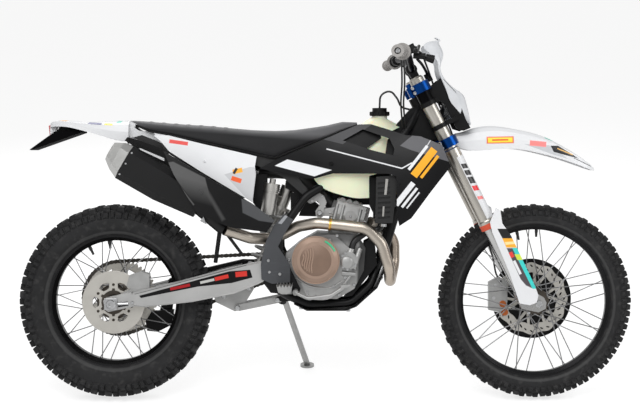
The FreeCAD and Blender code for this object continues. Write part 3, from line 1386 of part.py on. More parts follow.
def header_points():
    return [
        Vector(156, 0, 628), Vector(196, 34, 612), Vector(246, 58, 560), Vector(246, 50, 480), Vector(232, 10, 424),
        Vector(226, -66, 424), Vector(222, -110, 470), Vector(194, -116, 560), Vector(144, -120, 612),
        Vector(60, -112, 622), Vector(-30, -104, 630), Vector(-95, -74, 617), Vector(-150, -62, 588),
        Vector(-205, -62, 572), Vector(-264, -82, 576), Vector(-350, -126, 608),
    ]


def make_exhaust(head_casting):
    header = tube(header_points(), s.header_radius, 60)
    keep("exhaust_header", shape_piece("exhaust_header_pipe", header.cut(head_casting)))
    angle = math.radians(s.silencer_angle)
    along = Vector(math.cos(angle), 0, -math.sin(angle))
    side = Vector(0, 1, 0)
    rear = Vector(-694, -float(s.silencer_side), 843)
    length, height, width = float(s.silencer_length), float(s.silencer_height), float(s.silencer_width)
    front_end = header_points()[-1]
    body = loft([
        box_section(rear, along, side, width, height, 24),
        box_section(rear + along * (length * 0.5), along, side, width - 6, height, 24),
        box_section(rear + along * length, along, side, width - 22, height - 34, 20),
    ])
    neck_start = rear + along * length
    neck = Part.makeLoft([
        Part.Wire(Part.Circle(neck_start, along, 34).toShape()),
        Part.Wire(Part.Circle(front_end - along * 2, along, float(s.header_radius) + 3).toShape()),
    ], True, False)
    header_end = tube(header_points(), s.header_radius + s.fit_gap, 60)
    silencer = body.fuse(neck).cut(header_end)
    keep("silencer", shape_piece("silencer_body", silencer))
    tip = rear - along * 58 + Vector(0, 0, 10)
    cap = loft([
        box_section(rear - along * 0.2, along, side, width - 2, height - 2, 24),
        box_section(rear - along * 30 + Vector(0, 0, 6), along, side, width - 16, height - 22, 20),
        box_section(tip, along, side, width - 34, height - 60, 16),
    ])
    mouth = cylinder_between(tip - along * 20, tip + along * 40, 17)
    keep("silencer_end_cap", shape_piece("silencer_end_cap_shape", cap.cut(mouth)))
    return silencer


# Bodywork


def make_seat():
    """One long foam seat from the tank to the tail, as (x, top, side edge, half width) stations."""
    full = float(s.seat_half)
    sections = []
    for x, top, edge, share in (
        (-684, 990, 980, 0.50), (-620, 986, 952, 0.74), (-549, 980, 939, 0.87), (-412, 971, 908, 0.98),
        (-262, 957, 874, 1.0), (-178, 954, 856, 0.94), (-110, 957, 884, 0.82), (3, 973, 930, 0.66),
        (60, 986, 954, 0.54), (112, 984, 974, 0.38),
    ):
        half = full * share
        crown = top - (top - edge) * 0.12
        sections.append([
            Vector(x, -half, edge), Vector(x, -half * 0.94, edge + (crown - edge) * 0.55), Vector(x, -half * 0.72, crown),
            Vector(x, 0, top), Vector(x, half * 0.72, crown), Vector(x, half * 0.94, edge + (crown - edge) * 0.55),
            Vector(x, half, edge),
        ])
    seat = arched_loft(sections)
    keep("seat", shape_piece("seat_foam", seat))
    return seat


def make_tank():
    """The blow-moulded fuel tank: a saddle over the spars with a lobe down each side."""
    sections = []
    for x, top, bottom, half_top, half_low in (
        (-52, 880, 800, 60, 90), (0, 918, 736, 62, 100), (60, 946, 712, 62, 106), (114, 968, 700, 60, 108),
        (166, 1002, 700, 56, 108), (222, 994, 700, 52, 104), (262, 976, 716, 44, 92),
    ):
        deep = top - bottom
        sections.append([
            Vector(x, -half_low * 0.92, bottom + deep * 0.06), Vector(x, -half_low, bottom + deep * 0.34),
            Vector(x, -half_low * 0.9, bottom + deep * 0.68), Vector(x, -half_top * 0.8, top - deep * 0.05),
            Vector(x, 0, top), Vector(x, half_top * 0.8, top - deep * 0.05),
            Vector(x, half_low * 0.9, bottom + deep * 0.68), Vector(x, half_low, bottom + deep * 0.34),
            Vector(x, half_low * 0.92, bottom + deep * 0.06),
        ])
    body = arched_loft(sections)
    front = slab([(152, 600), (152, 794), (206, 810), (300, 905), (300, 600)], -200, 200)
    tunnel_y = float(s.spar_half) + float(s.spar_radius) + 16
    tunnel = slab([(-160, 600), (-160, 800), (60, 850), (180, 925), (330, 1000), (330, 600)], -tunnel_y, tunnel_y)
    body = body.cut(front).cut(tunnel)
    for side in (-1, 1):
        body = body.cut(tube(spar_points(side), s.spar_radius + 0.2, 90))
    body = max(body.Solids, key=lambda solid: solid.Volume)
    keep("fuel_tank", shape_piece("fuel_tank_shell", body))
    neck = Part.makeCylinder(27, 26, Vector(192, 0, 984))
    cap = Part.makeCylinder(34, 15, Vector(192, 0, 1006))
    knurl = Part.makeCylinder(26, 15, Vector(192, 0, 1019))
    keep("tank_cap", shape_piece("tank_cap_shape", cap.fuse(neck).fuse(knurl).cut(body)))
    return body


radiator_ears = [(262, 696), (262, 764)]
radiator_foot = 632


def make_shrouds(tank):
    """Side covers from the seat to ahead of the radiators, with a window over the tank."""
    outline = [(-230, 820), (-176, 850), (-123, 873), (3, 926), (115, 974), (157, 975), (206, 960), (278, 936),
               (327, 932), (401, 902), (430, 828), (363, 743), (295, 650), (254, 623), (246, 660), (244, 793),
               (216, 803), (26, 803), (-43, 784), (-95, 793)]
    hole = [(60, 918), (130, 957), (222, 924), (238, 888), (234, 866), (161, 884)]
    rows = [
        (-260, [(600, 114), (800, 114), (900, 112), (1000, 108)]),
        (-100, [(600, 120), (800, 118), (900, 112), (1000, 96)]),
        (60, [(600, 132), (800, 128), (900, 118), (1000, 88)]),
        (220, [(600, 166), (800, 166), (900, 150), (1000, 104)]),
        (340, [(600, 176), (800, 184), (900, 172), (1000, 130)]),
        (450, [(600, 168), (800, 180), (900, 172), (1000, 130)]),
    ]
    shroud = side_skin(rows, outline, s.panel_wall).cut(slab(hole, 60, 220))
    for x, z in radiator_ears:
        shroud = shroud.fuse(Part.makeCylinder(8, 30, Vector(x, 146, z), Vector(0, 1, 0)))
    for x, z in ((20, 836), (-30, 840)):
        boss = Part.makeCylinder(8, 58, Vector(x, 62, z), Vector(0, 1, 0)).cut(tank)
        shroud = shroud.fuse(max(boss.Solids, key=lambda solid: solid.CenterOfMass.y))
    pair = Part.makeCompound([shroud, shroud.mirror(Vector(), Vector(0, 1, 0))])
    keep("tank_shrouds", shape_piece("tank_shroud_pair", pair))


def make_radiators():
    outline = [(172, radiator_foot), (232, radiator_foot), (250, 780), (236, 796), (176, 792)]
    core = slab(outline, 72, 146)
    core = core.fuse(slab([(226, 700), (262, 700), (262, 716), (226, 716)], 8, 73))
    for x, z in radiator_ears:
        core = core.fuse(slab([(x - 34, z - 8), (x + 8, z - 8), (x + 8, z + 8), (x - 34, z + 8)], 134, 146))
    for i in range(8):
        z = 646 + 17 * i
        core = core.cut(slab([(181, z), (224, z + 3), (224, z + 10), (181, z + 7)], 141, 147))
    core = core.cut(tube(down_points(), s.down_radius + 0.2, 200))
    pair = Part.makeCompound([core, core.mirror(Vector(), Vector(0, 1, 0))])
    keep("radiators", shape_piece("radiator_pair", pair))


def make_side_panels():
    outline = [(-600, 936), (-549, 936), (-437, 908), (-262, 868), (-240, 862), (-246, 826), (-242, 801), (-254, 703),
               (-437, 812), (-545, 880), (-572, 912)]
    rows = [
        (-700, [(660, 108), (800, 112), (900, 104), (1000, 92)]),
        (-550, [(660, 118), (800, 118), (900, 110), (1000, 96)]),
        (-400, [(660, 124), (800, 122), (900, 114), (1000, 104)]),
        (-220, [(660, 124), (800, 120), (900, 114), (1000, 108)]),
    ]
    panel = side_skin(rows, outline, s.panel_wall)
    for x, z, depth in ((-430, 858, 20), (-300, 800, 23)):
        panel = panel.fuse(Part.makeCylinder(8, depth, Vector(x, 96, z), Vector(0, 1, 0)))
    pair = Part.makeCompound([panel, panel.mirror(Vector(), Vector(0, 1, 0))])
    keep("side_panels", shape_piece("side_panel_pair", pair))


def make_airbox(seat, fender):
    """The moulded subframe and airbox between the side panels, which carries the seat."""
    block = slab([(-600, 944), (-436, 916), (-262, 880), (-262, 716), (-300, 716), (-440, 800), (-560, 880)], -96, 96)
    tail = slab([(-722, 972), (-684, 984), (-618, 954), (-600, 944), (-560, 880), (-640, 912), (-722, 944)], -60, 60)
    rails = slab([(-262, 880), (-262, 840), (-150, 790), (-66, 716), (-50, 726), (-120, 822), (-180, 866)], 84, 92)
    cross = cylinder_between(frame_cross - Vector(0, 100, 0), frame_cross + Vector(0, 100, 0),
                             float(s.cross_radius) + 0.2)
    tail = max(tail.cut(fender).Solids, key=lambda solid: solid.Volume)
    airbox = block.fuse(tail).fuse(rails).fuse(rails.mirror(Vector(), Vector(0, 1, 0))).cut(seat).cut(cross)
    for side in (-1, 1):
        airbox = airbox.cut(tube(spar_points(side), s.spar_radius + 0.2, 90))
    keep("airbox", shape_piece("airbox_moulding", max(airbox.Solids, key=lambda solid: solid.Volume)))


def make_rear_fender():
    fender = mudguard([(-690, 990, 92, 74), (-733, 989, 94, 70), (-790, 986, 88, 50), (-856, 985, 80, 31),
                       (-920, 990, 72, 23), (-956, 989, 58, 22), (-974, 982, 36, 18)], s.panel_wall)
    keep("rear_fender", shape_piece("rear_fender_skin", fender))
    flap = slab([(-1042, 886), (-1036, 884), (-860, 946), (-862, 956), (-950, 952)], -62, 62)
    post = slab([(-926, 950), (-872, 950), (-872, 1000), (-926, 1000)], -22, 22).cut(fender)
    flap = flap.fuse(min(post.Solids, key=lambda solid: solid.CenterOfMass.z))
    keep("plate_holder", shape_piece("plate_holder_shape", flap))
    lamp = slab([(-976, 933.35), (-952, 950.57), (-952, 974), (-968, 978), (-980, 970)], -34, 34).cut(fender)
    lamp = min(lamp.Solids, key=lambda solid: solid.CenterOfMass.z)
    keep("tail_lamp", shape_piece("tail_lamp_shape", lamp))
    return fender


def make_exhaust_panel(silencer):
    """The black side cover that hides the front of the silencer."""
    outline = [(-556, 882), (-520, 800), (-440, 668), (-330, 618), (-204, 600), (-176, 640), (-254, 700), (-437, 809)]
    rows = [
        (-600, [(560, 196), (700, 198), (800, 196), (900, 188)]),
        (-440, [(560, 190), (700, 190), (800, 182), (900, 170)]),
        (-300, [(560, 160), (700, 158), (800, 150), (900, 140)]),
        (-160, [(560, 134), (700, 132), (800, 130), (900, 130)]),
    ]
    panel = side_skin(rows, outline, s.panel_wall).mirror(Vector(), Vector(0, 1, 0))
    for x, z in ((-500, 820), (-430, 740)):
        boss = Part.makeCylinder(8, 40, Vector(x, -188, z), Vector(0, 1, 0)).cut(silencer)
        panel = panel.fuse(max(boss.Solids, key=lambda solid: -solid.CenterOfMass.y))
    keep("exhaust_panel", shape_piece("exhaust_panel_skin", panel))


def make_skid_plate():
    """The plate under the cradle, curved up in front of the crankcase."""
    outer = [(-112, 343), (-66, 319.8), (70, 319.8), (108, 334), (182, 400), (213, 470)]
    inner = [(209, 471.6), (178.4, 402.6), (106, 337.8), (69, 323.8), (-65, 323.8), (-110, 346.4)]
    keep("skid_plate", shape_piece("skid_plate_shape", slab(outer + inner, -74, 74)))


# Foot controls and the side stand


def make_foot_controls():
    pegs = []
    low = float(s.plate_half)
    x, z = float(s.peg_x), float(s.peg_z)
    half = float(s.peg_width) / 2
    for side in (-1, 1):
        bracket = slab([(x - 16, z - 26), (x + 22, z - 26), (x + 22, z + 6), (x - 16, z + 6)], low, low + 14)
        top = z + float(s.peg_height) / 2
        pitch = float(s.peg_width) / 5
        peg_outline = [(x - half, top), (x - half + 6, z - 10), (x - 8, z - 16), (x + 10, z - 16),
                       (x + half - 4, z - 8), (x + half, top)]
        for tooth in range(4):
            valley = x + half - pitch * (tooth + 0.5)
            peg_outline += [(valley, top - 8), (valley - pitch / 2, top)]
        peg_outline.append((x - half + pitch / 2, top - 8))
        peg = slab(peg_outline, low + 14, low + 18 + float(s.peg_length))
        whole = bracket.fuse(peg)
        pegs.append(whole if side > 0 else whole.mirror(Vector(), Vector(0, 1, 0)))
    keep("footpegs", shape_piece("footpeg_pair", Part.makeCompound(pegs)))
    pedal = tube([Vector(-104, -152, 392), Vector(-60, -158, 372), Vector(20, -168, 384), Vector(62, -168, 412)], 6, 40)
    pedal = pedal.fuse(slab([(52, 408), (86, 416), (86, 424), (52, 420)], -186, -160))
    pedal = pedal.fuse(cylinder_between(Vector(-104, -156, 392), Vector(-104, -float(s.plate_half), 392), 10))
    shifter = tube([Vector(-52, 100, 430), Vector(-40, 128, 432), Vector(60, 136, 432), Vector(92, 140, 440)], 5.5, 20)
    shifter = shifter.fuse(cylinder_between(Vector(-52, 66, 430), Vector(-52, 106, 430), 9))
    shifter = shifter.fuse(cylinder_between(Vector(96, 132, 441), Vector(96, 168, 441), 8))
    keep("foot_controls", shape_piece("foot_control_pair", Part.makeCompound([pedal, shifter])))


def make_side_stand():
    hinge, foot, axis = stand_pivot(), stand_foot(), stand_axis()
    ground_normal = Vector(0, -math.sin(lean), math.cos(lean))
    leg_end = foot + ground_normal * (float(s.stand_foot_wall))
    leg = cylinder_between(hinge, leg_end + (leg_end - hinge).normalize() * 2, s.stand_radius)
    knuckle = cylinder_between(hinge - axis * s.stand_knuckle_half, hinge + axis * s.stand_knuckle_half, 17)
    pad = Part.makeCylinder(26, s.stand_foot_wall, foot, ground_normal)
    below = Part.makeCylinder(200, 60, foot - ground_normal * 60, ground_normal)
    bolt_hole = cylinder_between(hinge - axis * 30, hinge + axis * 30, 6.1)
    stand = leg.fuse(knuckle).fuse(pad).cut(below).cut(bolt_hole)
    keep("side_stand", shape_piece("side_stand_leg", stand))


def build():
    make_front_wheel()
    make_rear_wheel()
    make_fork()
    make_clamps()
    make_handlebar()
    make_mask()
    make_front_fender()
    make_fork_guards()
    make_front_caliper()
    make_disc_guard()
    make_frame()
    swingarm = make_swingarm()
    make_chain()
    make_chain_guide(swingarm)
    make_shock()
    make_linkage()
    make_rear_caliper()
    silencer = make_exhaust(make_engine())
    seat = make_seat()
    make_shrouds(make_tank())
    make_radiators()
    make_side_panels()
    make_airbox(seat, make_rear_fender())
    make_exhaust_panel(silencer)
    make_skid_plate()
    make_foot_controls()
    make_side_stand()
    doc.recompute()


def check():
    """Stops if the document or a sub-part failed, because recompute alone doesn't say so."""
    for item in doc.Objects:
        if "Invalid" in item.State or "Error" in item.State:
            raise RuntimeError("failed object: " + item.Label)
    for label, item in pieces.items():
        shape = item.Shape
        if shape.isNull() or not shape.isValid() or not shape.Solids:
            raise RuntimeError("bad shape: " + label)


def export():
    os.makedirs("parts", exist_ok=True)
    for label, item in pieces.items():
        item.Shape.exportStep("parts/%s.step" % label)


build()
check()
export()
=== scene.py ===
import bmesh
import bpy
import json
import math
from mathutils import Matrix, Vector


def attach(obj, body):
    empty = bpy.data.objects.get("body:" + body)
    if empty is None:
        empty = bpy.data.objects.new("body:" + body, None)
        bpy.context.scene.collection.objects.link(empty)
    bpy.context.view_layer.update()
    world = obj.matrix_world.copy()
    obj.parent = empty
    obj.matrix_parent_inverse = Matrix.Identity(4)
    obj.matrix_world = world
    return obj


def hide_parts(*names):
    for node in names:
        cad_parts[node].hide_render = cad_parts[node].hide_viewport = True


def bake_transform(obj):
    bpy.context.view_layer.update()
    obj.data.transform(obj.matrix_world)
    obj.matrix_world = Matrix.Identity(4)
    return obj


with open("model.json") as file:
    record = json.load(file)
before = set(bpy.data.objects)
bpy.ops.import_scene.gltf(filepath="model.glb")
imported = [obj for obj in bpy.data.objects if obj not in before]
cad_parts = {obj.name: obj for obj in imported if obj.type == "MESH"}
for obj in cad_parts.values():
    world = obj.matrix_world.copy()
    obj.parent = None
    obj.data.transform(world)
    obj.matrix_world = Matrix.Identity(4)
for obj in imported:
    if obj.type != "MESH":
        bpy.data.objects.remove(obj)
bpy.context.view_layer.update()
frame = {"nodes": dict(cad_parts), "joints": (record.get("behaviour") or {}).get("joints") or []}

# Camera: it stands five metres off the right side, at the height of the seat, as in the photograph.
# The motorcycle leans on its stand, so the camera leans with it and sees it upright. All places below
# are on the upright motorcycle, in millimetres: X forward, Y to its left, Z up from the ground.

joints = {joint["name"]: joint for joint in frame["joints"]}
wheel_axis = joints["rear_wheel_spin"]["axis"]
lean = math.atan2(-wheel_axis[2], wheel_axis[1])
origin_left = 0.230
parked = Matrix.Translation((0, -origin_left, 0)) @ Matrix.Rotation(-lean, 4, "X")
upright = parked.inverted()


def upright_place(joint):
    """Where a joint sits on the upright motorcycle."""
    return upright @ Vector(joints[joint]["pos_m"]) * 1000


photo_width = 640
photo_height = 420
camera_distance = 5000
camera_height = 884.7
camera_ahead = 15.5
millimetres_per_pixel = 3.563
axis_pixel_x = 330
axis_pixel_y = 150
lens = bpy.data.cameras.new("camera")
lens.sensor_fit = "HORIZONTAL"
lens.lens = lens.sensor_width * camera_distance / (photo_width * millimetres_per_pixel)
lens.shift_x = (photo_width / 2 - axis_pixel_x) / photo_width
lens.shift_y = (axis_pixel_y - photo_height / 2) / photo_width
lens.clip_end = 60
camera = bpy.data.objects.new("camera", lens)
eye = Matrix.Translation(Vector((camera_ahead, -camera_distance, camera_height)) / 1000)
camera.matrix_world = parked @ eye @ Matrix.Rotation(math.radians(90), 4, "X")
bpy.context.scene.collection.objects.link(camera)
bpy.context.scene.camera = camera
bpy.context.scene.view_settings.view_transform = "Standard"


# Studio: a pale floor under the wheels and soft light from all round, with a large key lamp over the
# right side and a weaker one ahead. The floor shows white to the camera and keeps the soft shadow.


class Field:
    """A value that changes over a surface: a node's socket that Python's operators work on."""

    def __init__(self, tree, socket):
        self.tree = tree
        self.socket = socket

    def math(self, operation, *others):
        return self.tree.node("ShaderNodeMath", {"operation": operation}, dict(enumerate([self, *others])))

    def __add__(self, other):
        return self.math("ADD", other)

    __radd__ = __add__

    def __sub__(self, other):
        return self.math("SUBTRACT", other)

    def __rsub__(self, other):
        return self.tree.node("ShaderNodeMath", {"operation": "SUBTRACT"}, {0: other, 1: self})

    def __mul__(self, other):
        return self.math("MULTIPLY", other)

    __rmul__ = __mul__

    def __truediv__(self, other):
        return self.math("DIVIDE", other)

    def lowest(self, other):
        return self.math("MINIMUM", other)

    def highest(self, other):
        return self.math("MAXIMUM", other)

    def clamped(self):
        return self.highest(0.0).lowest(1.0)


class Tree:
    """A node tree, for a material or for geometry, that grows by one call a node."""

    def __init__(self, tree):
        self.tree = tree

    def node(self, kind, settings=None, sockets=None, out=0):
        made = self.tree.nodes.new(kind)
        for name, value in (settings or {}).items():
            if name == "stops":
                for stop, (place, colour) in zip(made.color_ramp.elements, value):
                    stop.position = place
                    stop.color = colour
            else:
                setattr(made, name, value)
        for name, value in (sockets or {}).items():
            if isinstance(value, Field):
                self.tree.links.new(value.socket, made.inputs[name])
            else:
                made.inputs[name].default_value = value
        return Field(self, made.outputs[out]) if made.outputs else None


def tone(red, green, blue):
    """A colour as a picture shows it, 0 to 255 a channel, as the linear colour that shaders take."""
    shares = [channel / 255 for channel in (red, green, blue)]
    linear = [c / 12.92 if c <= 0.04045 else ((c + 0.055) / 1.055) ** 2.4 for c in shares]
    return (*linear, 1.0)


def floor_material(white, strength, share):
    """What the camera and mirrors see is mostly plain white, and the rest is lit and shadowed."""
    material = bpy.data.materials.new("pale_floor")
    material.use_nodes = True
    nodes = Tree(material.node_tree)
    rays = nodes.node("ShaderNodeLightPath", out="Is Camera Ray")
    glossy = nodes.node("ShaderNodeLightPath", out="Is Glossy Ray")
    through = nodes.node("ShaderNodeLightPath", out="Is Transmission Ray")
    shown = rays.highest(glossy).highest(through)
    plain = nodes.node("ShaderNodeEmission", None, {"Color": white, "Strength": strength})
    surface = nodes.node("ShaderNodeBsdfDiffuse", None, {"Color": white})
    mixed = nodes.node("ShaderNodeMixShader", None, {0: shown * share, 1: surface, 2: plain})
    output = material.node_tree.nodes["Material Output"]
    material.node_tree.links.new(mixed.socket, output.inputs["Surface"])
    return material


floor_half = 60.0
floor_mesh = bpy.data.meshes.new("floor")
corners = [(x * floor_half, y * floor_half, 0) for x, y in ((-1, -1), (1, -1), (1, 1), (-1, 1))]
floor_mesh.from_pydata(corners, [], [(0, 1, 2, 3)])
floor = bpy.data.objects.new("floor", floor_mesh)
bpy.context.scene.collection.objects.link(floor)
white = (1, 1, 1, 1)
floor_mesh.materials.append(floor_material(white, strength=1.17, share=0.62))

world = bpy.data.worlds.new("studio")
world.use_nodes = True
bpy.context.scene.world = world
sky = Tree(world.node_tree)
camera_sees = sky.node("ShaderNodeLightPath", out="Is Camera Ray")
soft_level = 0.54
level = camera_sees * (1.0 - soft_level) + soft_level
world.node_tree.links.new(level.socket, world.node_tree.nodes["Background"].inputs["Strength"])
world.node_tree.nodes["Background"].inputs["Color"].default_value = white

for lamp_name, lamp_place, lamp_size, lamp_power in (
        ("key_lamp", (-0.8, -2.6, 3.4), 2.6, 96), ("front_lamp", (3.2, -1.4, 2.2), 1.6, 34),
        ("back_lamp", (-1.4, 3.0, 3.0), 2.6, 60)):
    lamp_data = bpy.data.lights.new(lamp_name, "AREA")
    lamp_data.size = lamp_size
    lamp_data.energy = lamp_power
    lamp = bpy.data.objects.new(lamp_name, lamp_data)
    lamp.location = lamp_place
    lamp.rotation_euler = (Vector((0, 0, 0.6)) - lamp.location).to_track_quat("-Z", "Y").to_euler()
    bpy.context.scene.collection.objects.link(lamp)


# Tyres: knobbly rubber on a rounded carcass, 18 inch behind and 21 inch in front. Each is moulded in one
# piece, with rows of square blocks that repeat round the tread and lean outwards at its shoulders.


class Finish:
    """A material in the making: plain numbers first, then what changes over the surface."""

    def __init__(self, name, colour, roughness, metallic=0.0, **plain):
        self.material = bpy.data.materials.new(name)
        self.material.use_nodes = True
        self.nodes = Tree(self.material.node_tree)
        self.shader = self.material.node_tree.nodes["Principled BSDF"]
        self.shader.inputs["Metallic"].default_value = metallic
        for socket, value in plain.items():
            self.shader.inputs[socket.replace("_", " ")].default_value = value
        self.base = colour
        self.colour = colour
        self.roughness = roughness
        self.normal = None
        self.place = self.nodes.node("ShaderNodeTexCoord", out="Object")
        split = self.nodes.node("ShaderNodeSeparateXYZ", None, {"Vector": self.place})
        across = self.split(split, 1) + origin_left
        height = self.split(split, 2)
        self.x = self.split(split, 0) * 1000
        self.y = (across * math.cos(lean) - height * math.sin(lean)) * 1000
        self.z = (across * math.sin(lean) + height * math.cos(lean)) * 1000

    def split(self, field, index):
        return Field(self.nodes, field.socket.node.outputs[index])

    def grain(self, scale, detail=3.0, stretch=(1, 1, 1)):
        """Noise from 0 to 1. Its scale is in features a metre, and stretch draws it out along an axis."""
        place = self.place
        if stretch != (1, 1, 1):
            place = self.nodes.node("ShaderNodeMapping", None, {"Vector": place, "Scale": stretch})
        return self.nodes.node("ShaderNodeTexNoise", None, {
            "Vector": place, "Scale": scale, "Detail": detail})

    def cells(self, scale):
        """Distance from the nearest of many scattered points."""
        return self.nodes.node("ShaderNodeTexVoronoi", None, {"Vector": self.place, "Scale": scale})

    def mix(self, share, first, second):
        return self.nodes.node("ShaderNodeMix", {"data_type": "RGBA"}, {0: share, 6: first, 7: second}, out=2)

    def paint(self, where, colour, soft=0.8):
        """Lays a colour over what is there: inside an outline, or where a field is 1."""
        share = self.patch(where, soft) if isinstance(where, list) else where
        self.colour = self.mix(share, self.colour, colour)
        return self

    def bar(self, centre, turn, length, width, colour, soft=0.8, strength=1.0):
        """Paints a bar that is turned up by turn degrees from straight ahead."""
        c, s = math.cos(math.radians(turn)), math.sin(math.radians(turn))
        a, w = length / 2, width / 2
        corners = [(centre[0] + u * c - v * s, centre[1] + u * s + v * c) for u, v in
                   ((-a, -w), (a, -w), (a, w), (-a, w))]
        share = self.patch(corners, soft)
        return self.paint(share if strength == 1.0 else share * strength, colour)

    def mottle(self, scale, amount, detail=4.0):
        """Slightly darker and lighter patches in the colour."""
        patches = self.grain(scale, detail)
        dark = tuple(max(channel * (1 - amount), 0) for channel in self.base[:3]) + (1.0,)
        share = ((patches - 0.35) * 2.2).clamped()
        self.colour = self.mix(share, dark, self.colour)
        return self

    def along_line(self, first, second, soft=0.8):
        """1 to the left of the line from first to second, seen from the right side, and 0 beyond."""
        dx, dz = second[0] - first[0], second[1] - first[1]
        length = math.hypot(dx, dz)
        off = (self.z - first[1]) * (dx / length) - (self.x - first[0]) * (dz / length)
        return (off / soft + 0.5).clamped()

    def patch(self, outline, soft=0.8):
        """1 inside a convex outline of (x, z) points that run anticlockwise."""
        inside = None
        for first, second in zip(outline, outline[1:] + outline[:1]):
            edge = self.along_line(first, second, soft)
            inside = edge if inside is None else inside.lowest(edge)
        return inside

    def bump(self, height, strength, distance):
        self.normal = self.nodes.node("ShaderNodeBump", None, {
            "Height": height, "Strength": strength, "Distance": distance,
            **({"Normal": self.normal} if self.normal else {})})
        return self

    def set(self, socket, value):
        target = self.shader.inputs[socket]
        if isinstance(value, Field):
            self.material.node_tree.links.new(value.socket, target)
        else:
            target.default_value = value
        return self

    def done(self):
        self.set("Base Color", self.colour)
        self.set("Roughness", self.roughness)
        if self.normal:
            self.set("Normal", self.normal)
        return self.material


def rubber(name, colour):
    """Moulded rubber: matt, a little dusty, with a fine skin."""
    finish = Finish(name, colour, 0.7, Specular_IOR_Level=0.25)
    finish.mottle(18, 0.35)
    finish.roughness = finish.grain(60) * 0.3 + 0.55
    return finish.bump(finish.grain(900, 2.0), 0.25, 0.0006)


def turns(count, start=0.0):
    """Evenly spaced angles that make a full turn."""
    return [start + 2 * math.pi * i / count for i in range(count)]


def ring(centre, side, over, radius, sides):
    """Points of a circle about a centre, in the plane of two unit vectors."""
    return [centre + (side * math.cos(t) + over * math.sin(t)) * radius for t in turns(sides)]


class Shape:
    """Loose surfaces collected into one mesh, in millimetres."""

    def __init__(self):
        self.points = []
        self.faces = []

    def add(self, points, faces, place=None):
        start = len(self.points)
        self.points += [place @ Vector(p) if place else Vector(p) for p in points]
        self.faces += [[start + i for i in face] for face in faces]
        return self

    def lathe(self, outline, count):
        """Turns a closed outline of (radius, along) points into a ring about the Y axis."""
        points, faces, size = [], [], len(outline)
        for turn in turns(count):
            points += [(r * math.cos(turn), y, r * math.sin(turn)) for r, y in outline]
        for i in range(count):
            a, b = i * size, ((i + 1) % count) * size
            for j in range(size):
                k = (j + 1) % size
                faces.append((a + j, b + j, b + k, a + k))
        return self.add(points, faces)

    def rings(self, sections, place=None):
        """Skins closed sections of equal size, in order, and caps the first and the last."""
        size, count = len(sections[0]), len(sections)
        points = [p for section in sections for p in section]
        faces = []
        for i in range(count - 1):
            for j in range(size):
                k = (j + 1) % size
                faces.append((i * size + j, i * size + k, (i + 1) * size + k, (i + 1) * size + j))
        faces.append(tuple(reversed(range(size))))
        faces.append(tuple(range((count - 1) * size, count * size)))
        return self.add(points, faces, place)

    def rod(self, first, last, radius, sides=12, last_radius=None, place=None):
        """A round bar between two points, straight or tapered."""
        first, last = Vector(first), Vector(last)
        along = (last - first).normalized()
        side = along.orthogonal().normalized()
        over = along.cross(side)
        end_radius = radius if last_radius is None else last_radius
        sections = [ring(first, side, over, radius, sides), ring(last, side, over, end_radius, sides)]
        return self.rings(sections, place)

    def hose(self, points, radius, sides=10, steps=6):
        """A round line that bends smoothly through its points."""
        ends = [Vector(p) for p in points]
        ends = [ends[0] * 2 - ends[1]] + ends + [ends[-1] * 2 - ends[-2]]
        path = []
        for a, b, c, d in zip(ends, ends[1:], ends[2:], ends[3:]):
            for i in range(steps):
                t = i / steps
                path.append((b * 2 + (c - a) * t + (a * 2 - b * 5 + c * 4 - d) * t * t
                             + (b * 3 - a - c * 3 + d) * t * t * t) / 2)
        path.append(ends[-2])
        side = (path[1] - path[0]).orthogonal().normalized()
        sections = []
        for i, point in enumerate(path):
            along = (path[min(i + 1, len(path) - 1)] - path[max(i - 1, 0)]).normalized()
            side = (side - along * side.dot(along)).normalized()
            sections.append(ring(point, side, along.cross(side), radius, sides))
        return self.rings(sections)

    def screw(self, at, out, radius, height=3.0, sides=12):
        """A screw head that stands on a point and faces out, with a socket sunk in its top."""
        at, out = Vector(at), Vector(out).normalized()
        side = out.orthogonal().normalized()
        over = out.cross(side)
        profile = ((-1.5, 1.0), (height * 0.6, 1.0), (height, 0.8), (height, 0.45), (height * 0.25, 0.42))
        sections = [ring(at + out * lift, side, over, radius * share, sides) for lift, share in profile]
        return self.rings(sections)

    def prism(self, outline, low, high):
        """An (x, z) outline, anticlockwise from the right side, from y = low to y = high."""
        near = [(x, low, z) for x, z in outline]
        far = [(x, high, z) for x, z in outline]
        return self.rings([far, near])

    def both_sides(self, outline, near, far):
        """The same prism on the right and on the left, between two distances from the middle."""
        return self.prism(outline, -far, -near).prism(outline, near, far)

    def pierced(self, outline, holes, low, high):
        """A flat plate through which holes are cut, as (x, z) outlines."""
        work = bmesh.new()
        for loop in [outline, *holes]:
            corners = [work.verts.new((x, low, z)) for x, z in loop]
            for i, corner in enumerate(corners):
                work.edges.new((corner, corners[(i + 1) % len(corners)]))
        filled = bmesh.ops.triangle_fill(work, use_beauty=True, edges=work.edges[:])
        flat = [item for item in filled["geom"] if isinstance(item, bmesh.types.BMFace)]
        pushed = bmesh.ops.extrude_face_region(work, geom=flat)
        moved = [item for item in pushed["geom"] if isinstance(item, bmesh.types.BMVert)]
        bmesh.ops.translate(work, verts=moved, vec=(0, high - low, 0))
        bmesh.ops.recalc_face_normals(work, faces=work.faces[:])
        work.verts.index_update()
        points = [v.co.copy() for v in work.verts]
        faces = [[v.index for v in face.verts] for face in work.faces]
        work.free()
        return self.add(points, faces)

    def mesh(self, name, place=None):
        """The mesh in metres, leaned with the motorcycle unless it has a place of its own."""
        matrix = parked if place is None else place
        data = bpy.data.meshes.new(name)
        data.from_pydata([matrix @ (p / 1000) for p in self.points], [], self.faces)
        data.update()
        return data


